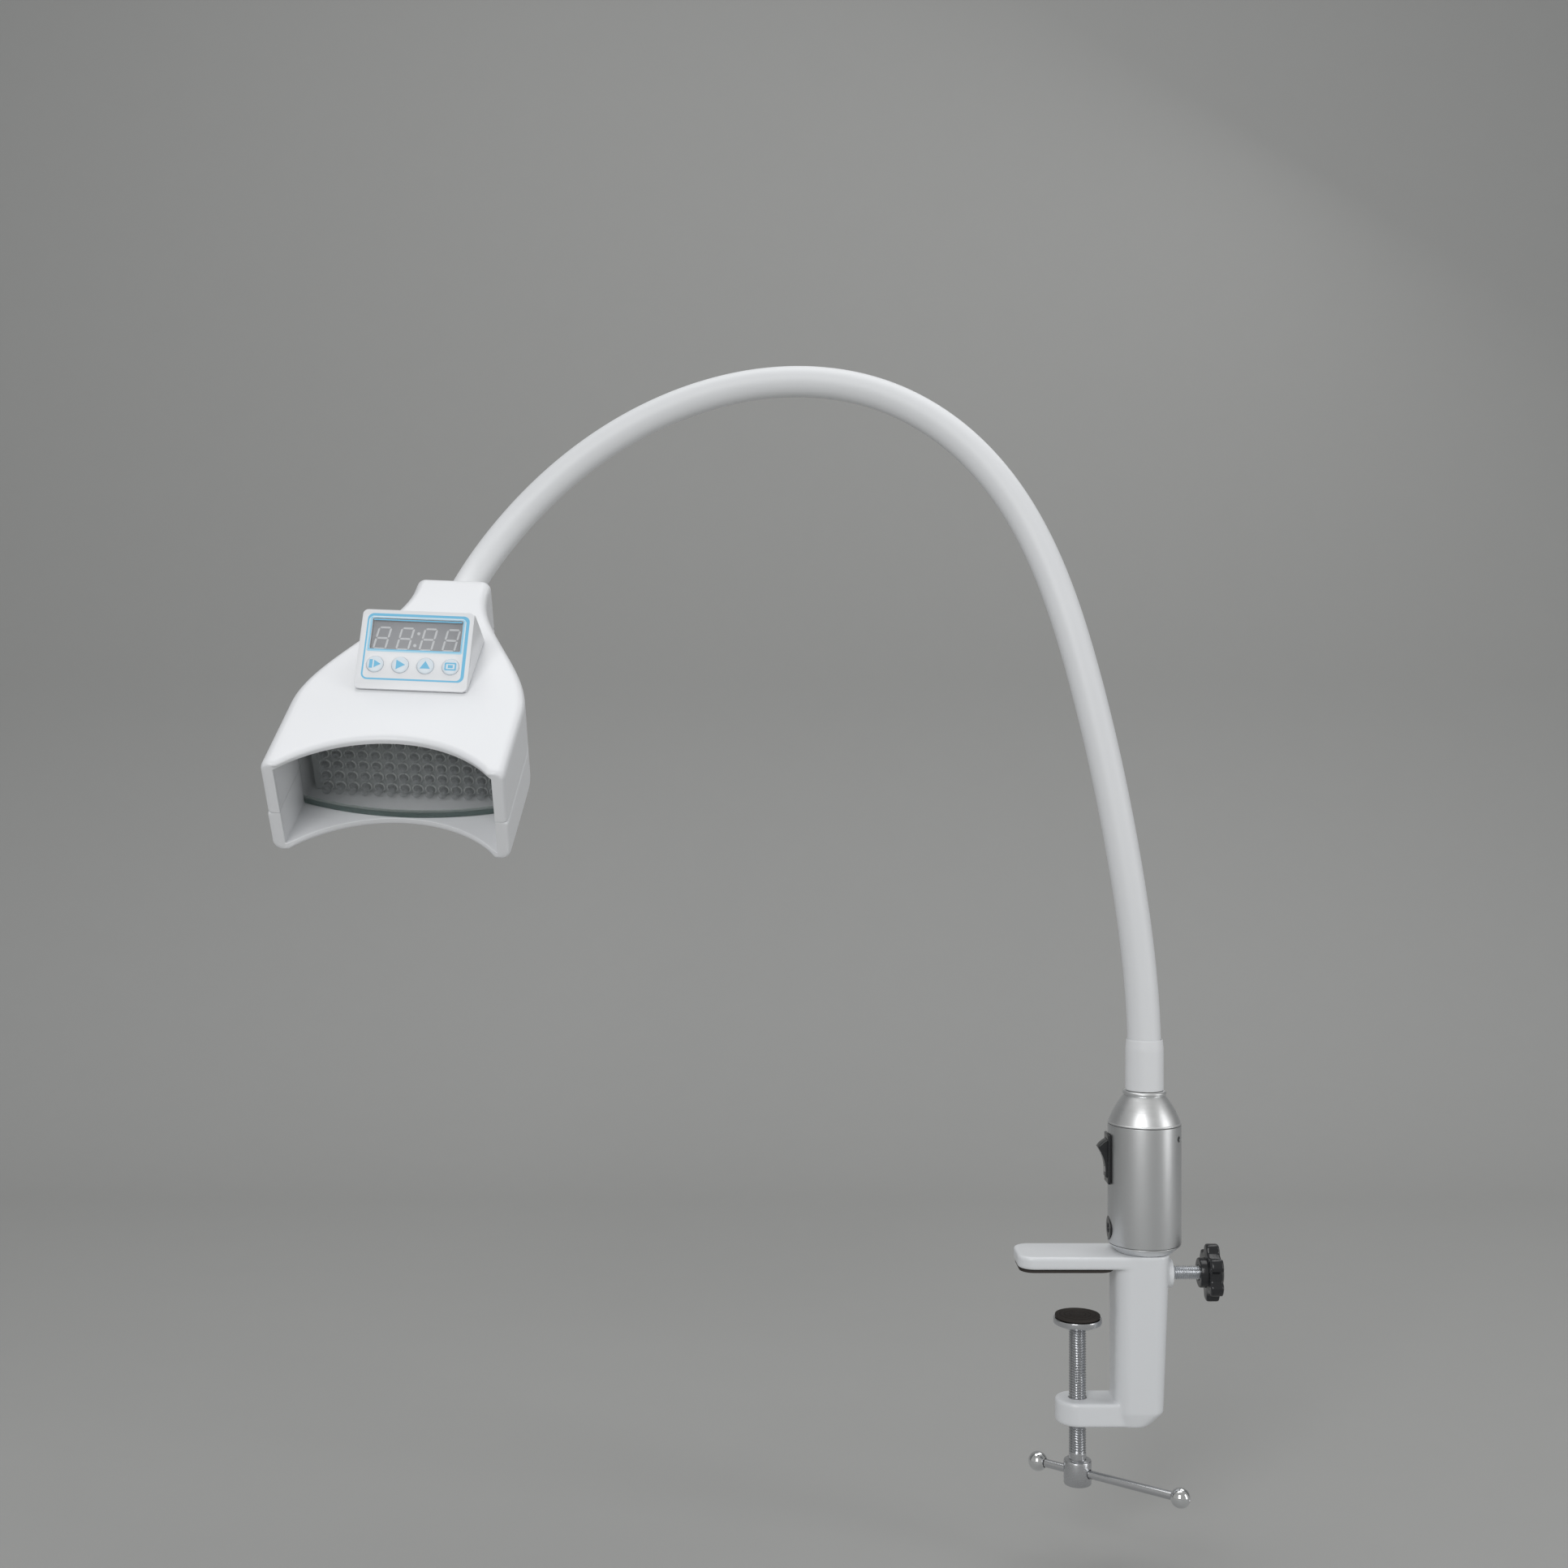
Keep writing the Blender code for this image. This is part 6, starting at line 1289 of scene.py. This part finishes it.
def bar_shape(start, end, half=0.00055):
    """A segment of a digit: a bar with pointed ends, leaning with the digit."""
    start, end = np.array(start), np.array(end)
    way = (end - start) / np.linalg.norm(end - start)
    out = np.array((-way[1], way[0])) * half
    shape = np.array((start, start + way * half + out, end - way * half + out, end,
                      end - way * half - out, start + way * half - out))
    shape[:, 0] += LEAN * (shape[:, 1] - DIGIT_MIDDLE)
    return shape


def digit(centre):
    """Seven segments between three heights and two uprights."""
    half, gap = 0.0033, 0.00030
    low, middle, top = 0.0009, 0.0073, 0.0137
    bars = [((-half + gap, y), (half - gap, y)) for y in (low, middle, top)]
    bars += [((x, y0 + gap), (x, y1 - gap)) for x in (-half, half)
             for y0, y1 in ((low, middle), (middle, top))]
    return [bar_shape((centre + x0, y0), (centre + x1, y1)) for (x0, y0), (x1, y1) in bars]


segments = [shape for centre in (-0.0192, -0.0064, 0.0065, 0.01926) for shape in digit(centre)]
segments += [circle(0.00083, 0.0107, 0.0009, 20), circle(-0.0006, 0.0035, 0.0009, 20)]
ribbon("display_segments", segments, "lit_segment", (-0.00185, -0.00174))

# %% [markdown]
# Each key is a soft cap with a low dome, kept behind the plate by its flange. The blue signs on
# the four keys are pause, start, up and a small screen.

# %% Keys
SIGNS = {
    1: [np.array(((-0.0030, -0.0025), (-0.0012, -0.0025), (-0.0012, 0.0025), (-0.0030, 0.0025))),
        np.array(((-0.0004, -0.00225), (0.0033, 0), (-0.0004, 0.00225)))],
    2: [np.array(((-0.0021, -0.0028), (0.0029, 0), (-0.0021, 0.0028)))],
    3: [np.array(((-0.0029, -0.0018), (0.0029, -0.0018), (0, 0.0027)))],
    4: [outline(-0.0032, 0.0032, -0.0023, 0.0023, 0.0007, 3),
        outline(-0.0024, 0.0024, -0.0015, 0.0015, 0.0003, 3),
        outline(-0.0014, 0.0014, -0.0009, 0.0009, 0.0002, 2)],
}
for number, x in enumerate(KEYS, 1):
    place = PANEL @ Matrix.Translation((x, KEY_Y, 0))
    key = turned(f"key_{number}",
                 ((0, 0.0008), (0.0022, 0.00078), (0.0038, 0.00066), (0.0046, 0.0004),
                  (0.00475, 0), (0.00475, -0.0018), (0.00525, -0.0018), (0.00525, -0.0028),
                  (0.0015, -0.0028), (0.0015, -0.0054), (0, -0.0054)), place, 64, 0.0002)
    dress(key, "button_pale", f"button_{number}", f"button_{number}")
    sign = plate(f"key_sign_{number}", SIGNS[number], 0.00062, 0.00083, place)
    dress(sign, "print_blue", f"button_{number}")
print("panel pieces done")

# %% [markdown]
# ## Pieces that keep their CAD shape
# The spigot, the nuts, the ferrules, the heat sink, the driver and control boards and the leads
# are inside and stay as they are. They carry the same finishes, so a cut-away view shows them.

# %% Finishes for the CAD nodes
slots = {part["node"]: part["material_slot"] for part in frame["record"]["subparts"]}
by_slot = {}
for look, slot in LOOKS.values():
    by_slot.setdefault(slot, look)
for name, node in frame["nodes"].items():
    look = by_slot[slots[name]]
    for at in range(len(node.data.materials)):
        node.data.materials[at] = look

# %% [markdown]
# ## Stage, lights and camera
# A pale sweep of paper stands in for the studio: floor, quarter circle and wall as one strip. The
# camera stands where the photographer stood, level with the neck, about a metre away.

# %% Sweep
def sweep_profile():
    """Floor, a quarter circle and a wall: y and z along the strip."""
    turn = np.linspace(0, np.pi / 2, 24)
    radius, floor, wall = 0.6, -0.172, 1.5
    curve = np.stack((wall - radius + radius * np.sin(turn),
                      floor + radius - radius * np.cos(turn)), -1)
    return np.vstack(((-6.0, floor), curve, (wall, 4.0)))


profile = sweep_profile()
across = np.array((-7.0, 7.0))
points = np.stack([np.stack((0 * profile[:, 0] + x, profile[:, 0], profile[:, 1]), -1)
                   for x in across], 1)
floor = piece_from("paper_sweep", points, grid_faces(len(profile), 2))
floor.data.shade_smooth()
PAPER = (0.38, 0.38, 0.37)
floor.data.materials.append(surfaced("paper", PAPER, 0.85, 300, 0.00002, 0.02, 0.05))

# %% Lights, camera and finish
def soft_light(name, place, aim, size, power):
    """A rectangular area light at a place, turned to an aim."""
    data = bpy.data.lights.new(name, "AREA")
    data.shape, data.size, data.size_y, data.energy = "RECTANGLE", size[0], size[1], power
    light = placed(name, data)
    light.location = place
    light.rotation_euler = (Vector(aim) - Vector(place)).to_track_quat("-Z", "Y").to_euler()
    return light


key_light = soft_light("key_light", (-0.75, -1.9, 1.1), (-0.15, 0, 0.2), (0.9, 1.3), 18)
fill_light = soft_light("fill_light", (1.7, -0.8, 0.6), (-0.15, 0, 0.2), (0.5, 1.5), 7)
top_light = soft_light("top_light", (-0.2, 0.3, 2.0), (-0.2, 0, 0.2), (1.6, 1.2), 11)
back_light = soft_light("back_light", (0.7, 0.9, 1.5), (-0.1, 0, 0.2), (0.8, 0.8), 3)
world = bpy.data.worlds.new("studio")
bpy.context.scene.world = world
world.use_nodes = True
nodes, link = world.node_tree.nodes, world.node_tree.links.new
soft = nodes["Background"]
soft.inputs["Color"].default_value = (0.95, 0.97, 1.0, 1)
soft.inputs["Strength"].default_value = 0.42
seen = nodes.new("ShaderNodeBackground")
seen.inputs["Color"].default_value = (*PAPER, 1)
rays = nodes.new("ShaderNodeLightPath")
either, direct = nodes.new("ShaderNodeMath"), nodes.new("ShaderNodeMath")
choice = nodes.new("ShaderNodeMixShader")
either.operation = direct.operation = "MAXIMUM"
link(rays.outputs["Is Glossy Ray"], either.inputs[0])
link(rays.outputs["Is Transmission Ray"], either.inputs[1])
link(either.outputs[0], direct.inputs[0])
link(rays.outputs["Is Camera Ray"], direct.inputs[1])
link(direct.outputs[0], choice.inputs[0])
link(soft.outputs[0], choice.inputs[1])
link(seen.outputs[0], choice.inputs[2])
link(choice.outputs[0], nodes["World Output"].inputs["Surface"])
bpy.context.scene.view_settings.view_transform = "Standard"

lens_data = bpy.data.cameras.new("camera")
lens_data.lens, lens_data.sensor_width = 40.99, 36
camera = placed("camera", lens_data)
camera.location = (-0.162, -1.034, 0.279)
camera.rotation_euler = (math.pi / 2, 0, 0)
bpy.context.scene.camera = camera
